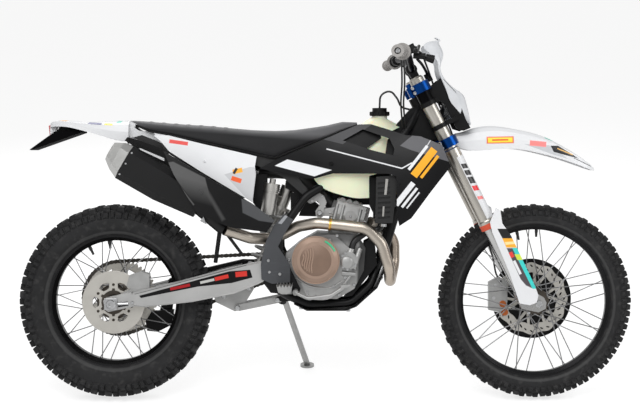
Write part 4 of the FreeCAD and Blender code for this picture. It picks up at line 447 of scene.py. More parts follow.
def joined_piece(name, form, material, body, stands_for=(), round_edge=0.0, smooth_angle=35, levels=0,
                 place=None):
    """Puts a shape or a mesh in the scene, with its material, its body and the node it stands for."""
    data = form.mesh(name, place) if isinstance(form, Shape) else form
    work = bmesh.new()
    work.from_mesh(data)
    bmesh.ops.recalc_face_normals(work, faces=work.faces[:])
    work.to_mesh(data)
    work.free()
    data.materials.clear()
    data.materials.append(material)
    data.polygons.foreach_set("use_smooth", [True] * len(data.polygons))
    if smooth_angle < 180:
        data.set_sharp_from_angle(angle=math.radians(smooth_angle))
    made = bpy.data.objects.new(name, data)
    bpy.context.scene.collection.objects.link(made)
    if round_edge:
        edge = made.modifiers.new("broken_edges", "BEVEL")
        edge.width = round_edge / 1000
        edge.segments = 2
        edge.limit_method = "ANGLE"
        edge.angle_limit = math.radians(smooth_angle)
        edge.harden_normals = True
        edge.use_clamp_overlap = True
    if levels:
        fine = made.modifiers.new("smooth_skin", "SUBSURF")
        fine.levels = levels
        fine.render_levels = levels
    if body:
        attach(made, body)
    for node in stands_for:
        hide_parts(node)
    return made


def growth_tree(name, *wanted):
    """A geometry tree with the inputs that it takes, as (name, kind) pairs, and their sockets."""
    group = bpy.data.node_groups.new(name, "GeometryNodeTree")
    for label, kind in wanted:
        group.interface.new_socket(label, in_out="INPUT", socket_type="NodeSocket" + kind)
    group.interface.new_socket("Geometry", in_out="OUTPUT", socket_type="NodeSocketGeometry")
    nodes = Tree(group)
    given = nodes.node("NodeGroupInput")
    return group, nodes, [Field(nodes, given.socket.node.outputs[i]) for i in range(len(wanted))]


def placed_copies(nodes, points, shape, turn, material):
    """Sets a copy of the shape on each point, and makes the copies real and coated."""
    placed = nodes.node("GeometryNodeInstanceOnPoints", None, {
        "Points": points, "Instance": shape, "Rotation": turn})
    real = nodes.node("GeometryNodeRealizeInstances", None, {"Geometry": placed})
    coated = nodes.node("GeometryNodeSetMaterial", None, {"Geometry": real, "Material": material})
    nodes.node("NodeGroupOutput", None, {0: coated})


def ring_tree():
    """Geometry nodes that repeat a shape evenly round the Y axis and join the copies."""
    group, nodes, (shape, copies, material) = growth_tree(
        "copies_round_an_axle", ("Geometry", "Geometry"), ("Copies", "Int"), ("Material", "Material"))
    points = nodes.node("GeometryNodePoints", None, {"Count": copies})
    turn = nodes.node("GeometryNodeInputIndex") * (2 * math.pi) / copies
    spun = nodes.node("ShaderNodeCombineXYZ", None, {"Y": turn})
    placed_copies(nodes, points, shape, spun, material)
    return group


ring_of_copies = ring_tree()


def grown(name, data, group, **inputs):
    """Runs a geometry tree on a mesh or a curve and returns the plain mesh that it makes."""
    carrier = bpy.data.objects.new(name, data)
    bpy.context.scene.collection.objects.link(carrier)
    work = carrier.modifiers.new("growth", "NODES")
    work.node_group = group
    for socket in group.interface.items_tree:
        if socket.in_out == "INPUT" and socket.name in inputs:
            work[socket.identifier] = inputs[socket.name]
    bpy.context.view_layer.update()
    ready = carrier.evaluated_get(bpy.context.evaluated_depsgraph_get())
    plain = bpy.data.meshes.new_from_object(ready)
    bpy.data.objects.remove(carrier)
    return plain


def merged_mesh(name, parts, place):
    """Joins plain meshes into one and moves it to its place."""
    work = bmesh.new()
    for part in parts:
        work.from_mesh(part)
    result = bpy.data.meshes.new(name)
    work.to_mesh(result)
    work.free()
    result.transform(place)
    return result


tread_sink = 4.0


def tread_block(shape, radius, side, ahead, tilt, width, length, height):
    """One block of tread: centre at a radius and side offset, leaning outwards by tilt degrees."""
    slope = math.radians(tilt)
    out = Vector((math.cos(slope), math.sin(slope), 0))
    across = Vector((-math.sin(slope), math.cos(slope), 0))
    turn = Matrix.Rotation(-ahead / radius, 3, "Y")
    centre = Vector((radius, side, 0))
    sections = []
    for lift, shrink in ((-tread_sink, -1.5), (height - 1.6, 0.9), (height, 2.4)):
        w, l = width / 2 - shrink, length / 2 - shrink
        sections.append([turn @ (centre + out * lift + across * a + Vector((0, 0, b)))
                         for a, b in ((-w, -l), (w, -l), (w, l), (-w, l))])
    return shape.rings(sections)


def wheel_place(joint):
    """The matrix from a wheel's own millimetres, with its axle along Y, to the parked motorcycle."""
    return parked @ Matrix.Translation(upright_place(joint) / 1000)


def from_the_axle(finish, joint):
    """Each point's distance from a wheel's axle."""
    axle = upright_place(joint)
    ahead = finish.x - axle[0]
    above = finish.z - axle[2]
    return (ahead * ahead + above * above).math("POWER", 0.5)


tyre_finish = rubber("tyre_rubber", tone(36, 36, 37))
dusty = ((tyre_finish.grain(45, 4.0) - 0.52) * 5.0).clamped()
tyre_finish.paint(dusty * 0.3, tone(74, 73, 72))
for joint, low, high in (("rear_wheel_spin", 236, 250), ("front_wheel_spin", 274, 286)):
    away = from_the_axle(tyre_finish, joint)
    bead = ((away - low) / 4).clamped().lowest(((high - away) / 4).clamped())
    tyre_finish.paint(bead * 0.45, tone(84, 84, 84))
tyre_rubber = tyre_finish.done()

rear_place = wheel_place("rear_wheel_spin")
front_place = wheel_place("front_wheel_spin")
own_place = Matrix.Identity(4)


def make_tyre(name, body, place, half_section, inside, copies, blocks):
    """A carcass turned from its half section, with its pattern of blocks repeated round it."""
    right_half = [(radius, -side) for radius, side in reversed(half_section[1:])]
    outline = half_section + [inside, (inside[0], -inside[1])] + right_half
    carcass = Shape().lathe(outline, 120).mesh(name + "_carcass", own_place)
    pattern = Shape()
    for radius, side, ahead, tilt, width, length, height in blocks:
        for hand in (1, -1):
            tread_block(pattern, radius, hand * side, ahead, hand * tilt, width, length, height)
    tread = grown(name + "_tread", pattern.mesh(name + "_pattern", own_place), ring_of_copies,
                  Copies=copies, Material=tyre_rubber)
    whole = merged_mesh(name + "_mesh", [carcass, tread], place)
    joined_piece(name + "_rubber", whole, tyre_rubber, body, (name,), smooth_angle=28)


rear_half_section = [
    (327.5, 0), (326.5, 18), (322, 36), (313, 50), (301, 59), (287, 62.5), (270, 62), (254, 57), (243, 47),
    (237, 36), (231, 30), (230, 29)]
make_tyre("rear_tyre", "rear_wheel", rear_place, rear_half_section, (244, 14), 40, [
    (327, 16.5, 2, 4, 27, 23, 13.6), (321, 37.5, 28, 17, 25, 24, 15.5), (303, 55.5, 6, 58, 24, 14, 8.6),
    (303, 55.5, 30, 58, 22, 20, 7.6)])
front_half_section = [
    (332.5, 0), (331, 13), (326, 25), (318, 34), (308, 40), (297, 42.5), (286, 40.5), (278, 34), (271, 26),
    (268.5, 22.5), (268, 21.5)]
make_tyre("front_tyre", "front_wheel", front_place, front_half_section, (280, 11), 44, [
    (331.5, 11, 2, 5, 18, 19, 11.2), (325.5, 26.5, 26, 26, 16, 20, 12.2), (311.5, 37, 5, 60, 18, 12, 7.0),
    (311.5, 37, 27, 60, 17, 17, 6.4)])


# Rims and hubs: rolled and turned aluminium, anodised black, drilled for 36 spokes. A rubber-capped valve
# and a rim lock, which keeps the tyre's bead from creeping, are screwed through each rim.


def dress(material, *nodes):
    """Gives CAD nodes their finish."""
    for node in nodes:
        for place in frame["nodes"][node].material_slots:
            place.material = material


def coat(name, colour, roughness, patches, grain, uneven=None, **plain):
    """A coat with faint patches (scale, amount), a grain (scale, detail, strength, depth) and, where it
    has one, uneven gloss (scale, swing, lowest)."""
    finish = Finish(name, colour, roughness, **plain).mottle(*patches)
    if uneven:
        scale, swing, lowest = uneven
        finish.roughness = finish.grain(scale, 5.0) * swing + lowest
    scale, detail, strength, depth = grain
    return finish.bump(finish.grain(scale, detail), strength, depth)


def metal(name, colour, roughness, scratch=(1, 1, 1), wear=0.12):
    """Bare or coated metal with faint smears, and scratches drawn out along an axis."""
    finish = Finish(name, colour, roughness, 1.0).mottle(9, wear, 5.0)
    finish.roughness = finish.grain(26, 5.0) * 0.22 + (roughness - 0.11)
    return finish.bump(finish.grain(420, 3.0, scratch), 0.12, 0.0004)


def grooved(finish, joint, scale):
    """Fine grooves that run round a wheel's axle, as turning and brake pads leave them."""
    line = finish.nodes.node("ShaderNodeCombineXYZ", None, {"X": from_the_axle(finish, joint)})
    grooves = finish.nodes.node("ShaderNodeTexNoise", None, {"Vector": line, "Scale": scale, "Detail": 2.0})
    return finish.bump(grooves, 0.25, 0.0003)


rim_black = metal("rim_black", tone(48, 48, 49), 0.36, wear=0.25).done()
hub_black = metal("hub_black", tone(100, 94, 87), 0.4, wear=0.5).done()
spoke_steel = metal("spoke_steel", tone(138, 138, 139), 0.3).done()
disc_finish = metal("disc_steel", tone(208, 205, 198), 0.4)
for joint in ("front_wheel_spin", "rear_wheel_spin"):
    grooved(disc_finish, joint, 0.5)
disc_steel = disc_finish.done()
dress(rim_black, "front_rim", "rear_rim")
dress(hub_black, "front_hub", "rear_hub")
dress(spoke_steel, "front_spokes", "rear_spokes")
dress(disc_steel, "rear_disc", "rear_sprocket")
stem_black = coat("stem_black", tone(22, 22, 23), 0.5, (30, 0.3), (500, 3.0, 0.2, 0.0004)).done()


def make_rim_stems(name, body, place, rim_radius, stems_at):
    """The valve with its cap and the rim lock with its nut, which point at the axle."""
    stems = Shape()
    for turn, length, radius in stems_at:
        at = Matrix.Rotation(math.radians(turn), 4, "Y")
        nut_end, stem_start = rim_radius - length * 0.45, rim_radius - length * 0.4
        stems.rod((rim_radius + 2, 0, 0), (nut_end, 0, 0), radius * 1.25, 6, place=at)
        stems.rod((stem_start, 0, 0), (rim_radius - length, 0, 0), radius, 12, radius * 0.8, at)
    joined_piece(name, stems, stem_black, body, place=place)


make_rim_stems("rear_valve_stems", "rear_wheel", rear_place, 215, ((-97, 30, 5.5), (-117, 34, 5.0)))
make_rim_stems("front_valve_stems", "front_wheel", front_place, 256, ((-88, 30, 5.0), (-104, 34, 5.0)))


# Front brake disc: ground stainless plate with a waved edge, pierced with oval holes that shed mud and
# heat, and fixed to the hub by six screws through its spider.

disc_waves = 12
front_disc_side = 62.0
disc_screws = 6


def polar(radius, turn):
    """An (x, z) point at a distance from the axle, in a direction."""
    return radius * math.cos(turn), radius * math.sin(turn)


def round_outline(radius, count, wave=0.0):
    """Points round a circle whose radius rises and falls by a wave."""
    return [polar(radius + wave * math.cos(disc_waves * turn), turn) for turn in turns(count)]


def oval_hole(radius, turn, length, width, slant=0.9):
    """An oval hole whose long axis is turned by slant from the radius."""
    points = []
    for t in turns(12):
        ahead, side = length / 2 * math.cos(t), width / 2 * math.sin(t)
        x = radius + ahead * math.cos(slant) - side * math.sin(slant)
        y = ahead * math.sin(slant) + side * math.cos(slant)
        points.append((x * math.cos(turn) - y * math.sin(turn), x * math.sin(turn) + y * math.cos(turn)))
    return points


def strip(first, second, first_width, second_width):
    """The outline of a straight strap between two (x, z) points, anticlockwise."""
    a, b = Vector(first), Vector(second)
    along = (b - a).normalized()
    side = Vector((-along[1], along[0]))
    return [tuple(a - side * first_width / 2), tuple(b - side * second_width / 2),
            tuple(b + side * second_width / 2), tuple(a + side * first_width / 2)]


disc_holes = [oval_hole(radius, turn + lag, length, width) for turn in turns(disc_waves)
              for radius, lag, length, width in ((118, 0, 13, 5), (106, 0.16, 15, 5.5), (113, 0.33, 12, 5))]
front_disc = Shape().pierced(round_outline(127, 144, 3.5), [round_outline(92, 96, 2.5)] + disc_holes,
                             front_disc_side - 1.6, front_disc_side + 1.6)
for turn in turns(disc_screws, 0.2):
    for spread in (-0.22, 0.22):
        leg = strip(polar(42, turn), polar(96, turn + spread), 11, 9)
        front_disc.prism(leg, front_disc_side - 1.4, front_disc_side + 1.4)
    x, z = polar(40, turn)
    front_disc.rod((x, front_disc_side - 5, z), (x, front_disc_side + 4, z), 6.5, 6)
joined_piece("front_disc_plate", front_disc, disc_steel, "front_wheel", ("front_disc",), 0.4,
             place=front_place)


# Rear brake disc: a plain round plate with six windows, held by six screws, and the hub's black flange in
# front of it.

windows = [[polar(radius, turn + lag) for radius, lag in (
    (52, -0.22), (68, -0.3), (72, -0.2), (74, 0), (72, 0.2), (68, 0.3), (52, 0.22), (49, 0))]
    for turn in turns(disc_screws)]
rear_disc = Shape().pierced(round_outline(110, 120), [round_outline(36, 60)] + windows, -76, -72)
joined_piece("rear_disc_plate", rear_disc, disc_steel, "rear_wheel", ("rear_disc",), 0.4,
             place=rear_place)
to_right = (0, -1, 0)
flange = Shape().lathe([(27, -75), (42, -75), (42, -79), (27, -79)], 48)
for turn in turns(disc_screws, math.pi / disc_screws):
    flange.prism(strip(polar(38, turn), polar(49, turn), 13, 8), -77.5, -75.5)
    x, z = polar(62, turn)
    flange.screw((x, -76.2, z), to_right, 5.0, 3)
joined_piece("rear_disc_flange", flange, hub_black, "rear_wheel", round_edge=0.4, place=rear_place)


# Fork: an upside-down fork of 48 mm. The upper tubes are hard anodised and brushed, the lower ones are
# chromed where they slide, and an orange-red wiper ring closes each pair.

head_place = upright_place("steering_turn")
rake = math.radians(26.5)
fork_up = Vector((-math.sin(rake), 0, math.cos(rake)))
fork_ahead = Vector((math.cos(rake), 0, math.sin(rake)))


def steered(ahead, side, above):
    """A point given along the fork's own axes from the middle of the steering head."""
    return head_place + fork_ahead * ahead + fork_up * above + Vector((0, side, 0))


def between(field, low, high, soft=1.0):
    """1 where a field lies between two values."""
    return ((field - low) / soft + 0.5).clamped().lowest(((high - field) / soft + 0.5).clamped())


dull_white = tone(206, 207, 209)
tube = metal("fork_tube_grey", tone(186, 182, 174), 0.34, (30, 30, 2))
from_head_x = tube.x - 358
from_head_z = tube.z - 996
decal_ahead = from_head_x * math.cos(rake) + from_head_z * math.sin(rake)
decal_above = from_head_z * math.cos(rake) - from_head_x * math.sin(rake)
decal = between(decal_ahead, 25, 70).lowest(between(decal_above, -404, -166))
tube.paint(decal, dull_white)
for low, high, colour in ((-214, -196, tone(24, 24, 25)), (-240, -221, tone(24, 24, 25)),
                          (-272, -247, tone(24, 24, 25)), (-300, -281, tone(212, 40, 48)),
                          (-334, -322, tone(224, 120, 118))):
    slanted = between(decal_above + (decal_ahead - 38) * 0.35, low, high)
    tube.paint(slanted.lowest(between(decal_ahead, 28, 47)), colour)
tube.set("Metallic", 1.0 - decal)
tube.paint(between(decal_above, 44, 92, 3), tone(16, 16, 17))
dress(tube.done(), "fork_outer_tubes")
dress(metal("slider_steel", tone(188, 188, 187), 0.26, (20, 20, 2)).done(), "fork_sliders")
wiper_orange = coat("wiper_orange", tone(206, 74, 40), 0.45, (30, 0.2), (400, 3.0, 0.2, 0.0004)).done()
seals = Shape()
for side in (-103, 103):
    seals.rod(steered(22, side, -440), steered(22, side, -420), 31.6, 40)
joined_piece("fork_wipers", seals, wiper_orange, "steering", round_edge=0.8)


# Fork guards: injection-moulded covers that keep stones off the chromed tubes. The white plastic carries
# plain coloured stripes and is screwed to the axle feet.


def plastic(name, colour, roughness, ripple=0.1, grain=0.15):
    """Moulded plastic: faint waves from the mould, a fine grain and uneven gloss."""
    finish = Finish(name, colour, roughness)
    finish.mottle(6, 0.05 if colour[0] > 0.3 else 0.2)
    finish.roughness = finish.grain(18, 4.0) * 0.16 + (roughness - 0.08)
    finish.bump(finish.grain(7, 2.0), ripple, 0.002)
    return finish.bump(finish.grain(700, 2.0), grain, 0.0003)


gloss_white = tone(216, 217, 219)
ink_black = tone(14, 14, 15)
stripe_orange = tone(226, 92, 38)
stripe_teal = tone(60, 180, 160)
stripe_gold = tone(232, 164, 44)
stripe_red = tone(214, 60, 52)
guard = plastic("fork_guard_white", gloss_white, 0.34)
guard.paint([(595, 612), (613, 578), (700, 578), (640, 612)], ink_black)
guard.paint([(612, 579), (626, 547), (720, 547), (700, 579)], stripe_gold)
guard.paint([(620, 566), (624, 556), (720, 566), (715, 573)], tone(250, 214, 150))
guard.paint([(627, 545), (676, 437), (694, 416), (717, 405), (648, 545)], tone(72, 66, 70), 2)
guard.bar((644, 522), -64, 20, 13, stripe_red)
guard.bar((664, 478), -64, 52, 9, gloss_white)
guard.paint([(646, 546), (717, 404), (790, 404), (700, 546)], tone(56, 196, 190), 1)
guard.paint([(654, 524), (664, 504), (760, 504), (740, 524)], tone(196, 214, 70), 1)
dress(guard.done(), "fork_guards")


# Clamps: forged and milled aluminium, anodised blue, with socket screws that pinch the tubes. They carry
# the handlebar's rubber-mounted risers above and the front mudguard below.

dress(metal("clamp_blue", tone(18, 66, 136), 0.3, wear=0.3).done(), "triple_clamps")


# Handlebar: a tapered aluminium tube, with ribbed rubber grips that end in a flange at the hand's edge,
# cast lever perches and a twist grip housing with two cables.

cast_black = coat("cast_black", tone(18, 18, 19), 0.45, (20, 0.3), (300, 4.0, 0.3, 0.0006), metallic=0.3,
                  Specular_IOR_Level=0.3).done()
grip_grey = coat("grip_grey", tone(152, 149, 146), 0.62, (26, 0.18), (800, 2.0, 0.3, 0.0004)).done()
dress(metal("satin_grey_metal", tone(40, 40, 42), 0.42).done(), "handlebar")
dress(grip_grey, "grips")
dress(cast_black, "bar_fittings", "hand_levers")


# Headlamp mask: pale translucent plastic round a small headlamp, with black side cheeks whose rubber
# straps hook round the fork tubes.

mask_finish = plastic("mask_plastic", tone(214, 216, 219), 0.4, 0.35)
clouds = ((mask_finish.grain(16, 5.0) - 0.4) * 3.0).clamped()
mask_finish.paint(clouds * 0.5, tone(176, 179, 183))
dress(mask_finish.set("Alpha", 0.9).done(), "headlamp_mask")
black_finish = plastic("black_plastic", tone(11, 11, 12), 0.44, 0.2, 0.3)
black_plastic = black_finish.set("Specular IOR Level", 0.18).done()
lamp_glass = Finish("lamp_glass", tone(225, 230, 236), 0.08, Transmission_Weight=0.9)
lamp_glass.bump(lamp_glass.x.math("SINE") * lamp_glass.y.math("SINE"), 0.5, 0.001)
dress(lamp_glass.done(), "headlamp")
dress(black_plastic, "mask_sides", "disc_guard")


# Front mudguard: flexible white plastic, bolted under the lower clamp. A grey wedge and thin coloured
# stripes run along its side.

mudguard = plastic("mudguard_white", gloss_white, 0.32)
mudguard.paint([(696, 906), (800, 868), (860, 852), (812, 884), (790, 901), (770, 903)], tone(184, 186, 189))
mudguard.paint([(790, 900), (801, 878), (895, 853), (870, 868), (820, 900)], tone(34, 34, 36))
mudguard.bar((842, 879), -22, 60, 4, tone(214, 170, 100))
mudguard.bar((905, 842), -25, 70, 2.5, tone(40, 40, 42))
mudguard.bar((614, 920), 1, 94, 24, stripe_red, 3)
mudguard.bar((614, 920), 1, 86, 17, tone(246, 214, 60), 3)
mudguard.bar((614, 920), 1, 56, 5, stripe_red)
mudguard.bar((746, 907), -5, 58, 18, tone(244, 132, 130))
mudguard.bar((789, 924), -20, 32, 6, stripe_teal)
dress(mudguard.done(), "front_fender")


# Brake calipers: cast two-piston bodies, the front one on the left fork foot with bronze-coloured caps on
# its pistons. The axle's ends and the pinch screws of the feet sit beside it.


def casting(name):
    """Bare cast aluminium, with a sandy skin."""
    return coat(name, tone(178, 178, 177), 0.44, (14, 0.3), (260, 5.0, 0.35, 0.0009), (40, 0.3, 0.32),
                metallic=0.85)


def screws(name, body, material, heads, out=to_right, both_sides=True):
    """Screw heads as one piece: each (x, y, z, radius), with its own way to face where that isn't out."""
    shape = Shape()
    for hand in (1, -1) if both_sides else (1,):
        for x, y, z, radius, *way in heads:
            ahead, side, up = way[0] if way else out
            shape.screw((x, y * hand, z), (ahead, side * hand, up), radius, radius * 0.6)
    return joined_piece(name, shape, material, body)


cast_alloy = casting("cast_alloy").done()
bright_steel = metal("bright_steel", tone(202, 203, 204), 0.28).done()
dress(cast_alloy, "front_caliper", "rear_caliper")
caliper_face = 49.5
caps = Shape()
for x, z in ((637, 331), (644, 301)):
    caps.rod((x, caliper_face, z), (x, caliper_face - 1.3, z), 12.5, 28)
    caps.rod((x, caliper_face - 1.1, z), (x, caliper_face - 1.8, z), 9.5, 28)
cap_bronze = metal("cap_bronze", tone(196, 112, 66), 0.3).done()
joined_piece("caliper_caps", caps, cap_bronze, "steering", round_edge=0.4)
caliper_bolts = Shape()
for x, z in ((612, 398), (676, 318), (604, 352)):
    caliper_bolts.rod((x, caliper_face, z), (x, caliper_face - 2.5, z), 6, 16)
joined_piece("caliper_bolts", caliper_bolts, bright_steel, "steering", round_edge=0.5)
screws("axle_ends", "steering", bright_steel, [(741.9, -124, 349.3, 13)])
screws("foot_pinch_screws", "steering", bright_steel, [(706, -122, 318, 5.5), (690, -126, 356, 6.0)])


# Cockpit: ribs on the grips, the throttle's housing with its two cables, the front brake's cast cylinder
# with its hose, pinch screws in the clamps and the lamp's black bowl behind the mask.

rib_step, rib_width = 7.6, 3.4
grip_ribs, housings = Shape(), Shape()
for side, housing_length in ((-1, 22), (1, 10)):
    inner, end = steered(20, side * 215, 239.7), steered(-12, side * 405, 245)
    along = (end - inner).normalized()
    for step in range(13):
        first = end - along * (16 + rib_step * step)
        grip_ribs.rod(first, first - along * rib_width, 18.3, 24)
    grip_ribs.rod(end - along * 118, end - along * 124, 19.5, 28)
    housings.rod(end - along * 128, end - along * (128 + housing_length), 21, 24)
joined_piece("grip_ribs", grip_ribs, grip_grey, "steering", round_edge=0.8)
joined_piece("bar_housings", housings, cast_black, "steering", round_edge=1.5)
controls = Shape().rod(steered(44, -190, 216), steered(80, -194, 194), 11, 20)
controls.rod(steered(80, -180, 192), steered(102, -178, 172), 12, 20, 15)
lever_arm = ((52, -170, 200), (62, -130, 176), (68, -80, 150), (68, -52, 128))
controls.hose([steered(*at) for at in lever_arm], 5, 12, 5)
controls.rod(steered(68, -52, 112), steered(68, -52, 142), 12, 20)
joined_piece("brake_controls", controls, cast_black, "steering", round_edge=1.2)
screws("bar_end_plugs", "steering", bright_steel, [(*steered(-12, -405, 245), 9)], (0.166, -0.98, 0.08))
screws("clamp_screws", "steering", bright_steel,
       [(*steered(-4, -128.4, above), 6.5) for above in (116.5, 98, -98, -116)], (-0.5, -0.8, -0.2))
screws("bar_clamp_screws", "steering", bright_steel,
       [(*steered(ahead, side, 197), 5.5) for ahead in (14, 42) for side in (-40, 40)], fork_up, False)
bowl = Shape().rod((432, 0, 1012), (406, 0, 1022), 46, 32, 27)
joined_piece("lamp_bowl", bowl, black_plastic, "steering", smooth_angle=50)
hose_line = coat("hose_line", tone(18, 18, 19), 0.45, (30, 0.3), (400, 3.0, 0.2, 0.0004)).done()
hose_route = [steered(*at) for at in (
    (44, -236, 226), (70, -200, 214), (76, -120, 176), (74, -30, 96), (71, 50, 60), (68, 64, 0),
    (64, 66, -90), (36, 66, -230), (20, 66, -340), (12, 66, -450))]
hose_foot = [Vector(at) for at in ((602, 66, 500), (614, 60, 440), (632, 50, 410))]
brake_hose = Shape().hose(hose_route + hose_foot, 3.4, 10, 8)
joined_piece("front_brake_hose", brake_hose, hose_line, "steering", smooth_angle=180)
for name, side, ahead in (("throttle_cable_open", 0, 0), ("throttle_cable_close", -7, 9)):
    line = [steered(-2 + ahead, -266 + side, 228), steered(-14 + ahead, -250 + side, 196)]
    for x, y, z in ((262, -190, 1110), (262, -120, 1050), (268, -64, 1000), (276, -40, 950), (280, -36, 900)):
        line.append(Vector((x + ahead, y + side, z)))
    cable = joined_piece(name, Shape().hose(line, 3.2, 10, 10), hose_line, None,
                         smooth_angle=180)
    parked @ (line[0] / 1000)
    parked @ (line[-1] / 1000)
    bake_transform(cable)


# Frame: welded steel tube, powder-coated black, with dark grey plastic guards screwed over the pivot plates
# where the rider's boots rub. A thin plate under the engine takes the stones, and sheet gussets and carriers
# for the wiring fill the frame's corners.

powder_black = coat("powder_black", tone(13, 13, 14), 0.42, (12, 0.2), (320, 4.0, 0.25, 0.0005),
                    Specular_IOR_Level=0.2).done()
guard_grey = plastic("guard_grey", tone(58, 60, 64), 0.55, 0.3, 0.5)
scuffs = ((guard_grey.grain(40, 6.0, (0.4, 1, 3)) - 0.6) * 6.0).clamped()
guard_grey.paint(scuffs * 0.25, tone(96, 98, 102))
guard_grey.paint([(-165, 630), (-153, 627), (-128, 658), (-136, 664)], tone(140, 142, 146))
dress(powder_black, "main_frame")
dress(guard_grey.done(), "frame_guards")
dress(black_plastic, "skid_plate")
screws("guard_screws", "chassis", bright_steel,
       [(x, -121.2, z, 5.5) for x, z in ((-199, 500), (-195, 460), (-159, 453))])
screws("skid_plate_screws", "chassis", bright_steel,
       [(-86, -60, 329, 8.0), (80, -60, 321, 8.0), (196, -60, 434, 8.0, (0.9, 0, -0.4))], (0, 0, -1))
plates = Shape()
plates.both_sides([(228, 950), (250, 905), (303, 900), (392, 924), (330, 1040), (304, 1034)], 26, 30)
plates.both_sides([(60, 366), (94, 371), (181, 480), (172, 578), (136, 560), (120, 442)], 55, 60)
plates.prism([(-256, 800), (-256, 700), (-236, 672), (-204, 650), (-204, 800)], -62, -58)
plates.prism([(-124, 668), (-84, 728), (-84, 734), (-124, 734)], -30, -26)
plates.prism([(-96, 650), (-28, 648), (-24, 690), (-52, 712), (-78, 702)], -10, 10)
joined_piece("frame_plates", plates, powder_black, "chassis", round_edge=1.0)


# Swingarm: a cast aluminium arm, sand-finished, with a black plastic panel that carries short coloured
# bars along its side. A slider on top keeps the chain off it, and an adjuster block ends each arm.

arm = coat("arm_alloy", tone(184, 184, 183), 0.42, (11, 0.14), (300, 5.0, 0.3, 0.0007), (30, 0.25, 0.3),
           metallic=0.75)
arm.paint([(-648, 378), (-642, 370), (-445, 409), (-430, 437)], tone(20, 20, 21))
arm.paint([(-452, 431), (-446, 409), (-327, 421), (-255, 440), (-263, 467), (-335, 462)], tone(20, 20, 21))
arm.bar((-506, 408), 12, 70, 10, tone(170, 36, 40))
arm.bar((-412, 428), 13, 50, 9, tone(196, 196, 192))
arm.bar((-362, 440), 13, 48, 13, stripe_red)
arm.bar((-294, 452), 5, 40, 18, stripe_red)
arm.bar((-470, 433), 14.4, 400, 2.4, tone(104, 104, 103), 1.2)
# Painted shade: the adjuster's slot, a recess, is painted dark on the arm's face.
arm.bar((-704, 348), 10, 36, 15, tone(34, 34, 35))
dress(arm.done(), "swingarm")
screws("arm_nuts", "chassis", bright_steel, [(-744, -136, 350, 17), (-672, -128, 354, 5)])
adjusters = Shape().both_sides([(-768, 330), (-724, 330), (-724, 370), (-768, 370)], 128, 135)
for side in (-131, 131):
    adjusters.rod((-722, side, 350), (-684, side, 352), 4.5, 12)
joined_piece("chain_adjusters", adjusters, bright_steel, "chassis", round_edge=1.2)
slider = Shape().prism([(-572, 411), (-429, 448), (-299, 481), (-262, 480), (-258, 489), (-300, 490),
                        (-429, 460), (-564, 421)], 64, 94)
slider.prism([(-300, 440), (-258, 446), (-258, 489), (-300, 488)], 52, 62)
joined_piece("chain_slider", slider, black_plastic, "chassis", round_edge=1.0)


# Chain drive: a roller chain of 520 size on a steel sprocket of 52 teeth, kept on its line by a black
# plastic guide. Each pair of plates is waisted between its two pins.

chain_pitch = 15.875
chain_side = 79.0
rear_teeth, front_teeth = 52, 13
rear_pitch_radius = chain_pitch / 2 / math.sin(math.pi / rear_teeth)
front_pitch_radius = chain_pitch / 2 / math.sin(math.pi / front_teeth)
rear_sprocket_at = upright_place("rear_wheel_spin")
rear_sprocket_at.y = chain_side
front_sprocket_x, front_sprocket_z = -112, 482
front_sprocket_at = Vector((front_sprocket_x, chain_side, front_sprocket_z))


def chain_points(start):
    """The chain's pitch line as close points, from a distance along it."""
    line = front_sprocket_at - rear_sprocket_at
    tilt = math.asin((rear_pitch_radius - front_pitch_radius) / line.length)
    along = math.atan2(line.z, line.x)
    run = line.length * math.cos(tilt)
    wheels = [(front_sprocket_at, front_pitch_radius, along + math.pi / 2 - tilt, math.pi - 2 * tilt),
              (rear_sprocket_at, rear_pitch_radius, along - math.pi / 2 + tilt, math.pi + 2 * tilt)]
    points = []
    for centre, radius, first, wrapped in wheels:
        steps = int(radius * wrapped / 3)
        for i in range(steps):
            turn = first - wrapped * i / steps
            points.append(centre + Vector((math.cos(turn), 0, math.sin(turn))) * radius)
        last = first - wrapped
        leaves = centre + Vector((math.cos(last), 0, math.sin(last))) * radius
        for i in range(int(run / 4)):
            points.append(leaves + Vector((math.sin(last), 0, -math.cos(last))) * 4 * i)
    length = sum((b - a).length for a, b in zip(points, points[1:] + points[:1]))
    passed = 0.0
    while passed < start:
        passed += (points[1] - points[0]).length
        points = points[1:] + points[:1]
    return points, length


def chain_tree():
    """Geometry nodes that set copies of a link evenly along a closed curve, each turned to follow it."""
    group, nodes, (curve, copies, link, material) = growth_tree(
        "links_along_a_curve", ("Geometry", "Geometry"), ("Copies", "Int"), ("Link", "Object"),
        ("Material", "Material"))
    spaced = nodes.node("GeometryNodeResampleCurve", None, {"Curve": curve, "Count": copies})
    tangent = nodes.node("GeometryNodeInputTangent")
    turned = nodes.node("FunctionNodeAlignRotationToVector", {"axis": "X", "pivot_axis": "Y"},
                        {"Vector": tangent})
    shape = nodes.node("GeometryNodeObjectInfo", None, {"Object": link}, out="Geometry")
    placed_copies(nodes, spaced, shape, turned, material)
    return group


def plate_outline(half_length, end_radius, waist):
    """A chain plate seen from the side: two round ends and a waist between them."""
    right = [(half_length + end_radius * math.cos(t), end_radius * math.sin(t))
             for t in (math.radians(a) for a in range(-120, 121, 40))]
    left = [(-x, z) for x, z in reversed(right)]
    return right + [(0, waist)] + left + [(0, -waist)]


links_along = chain_tree()
chain_steel = metal("chain_steel", tone(92, 89, 84), 0.38, wear=0.5).done()


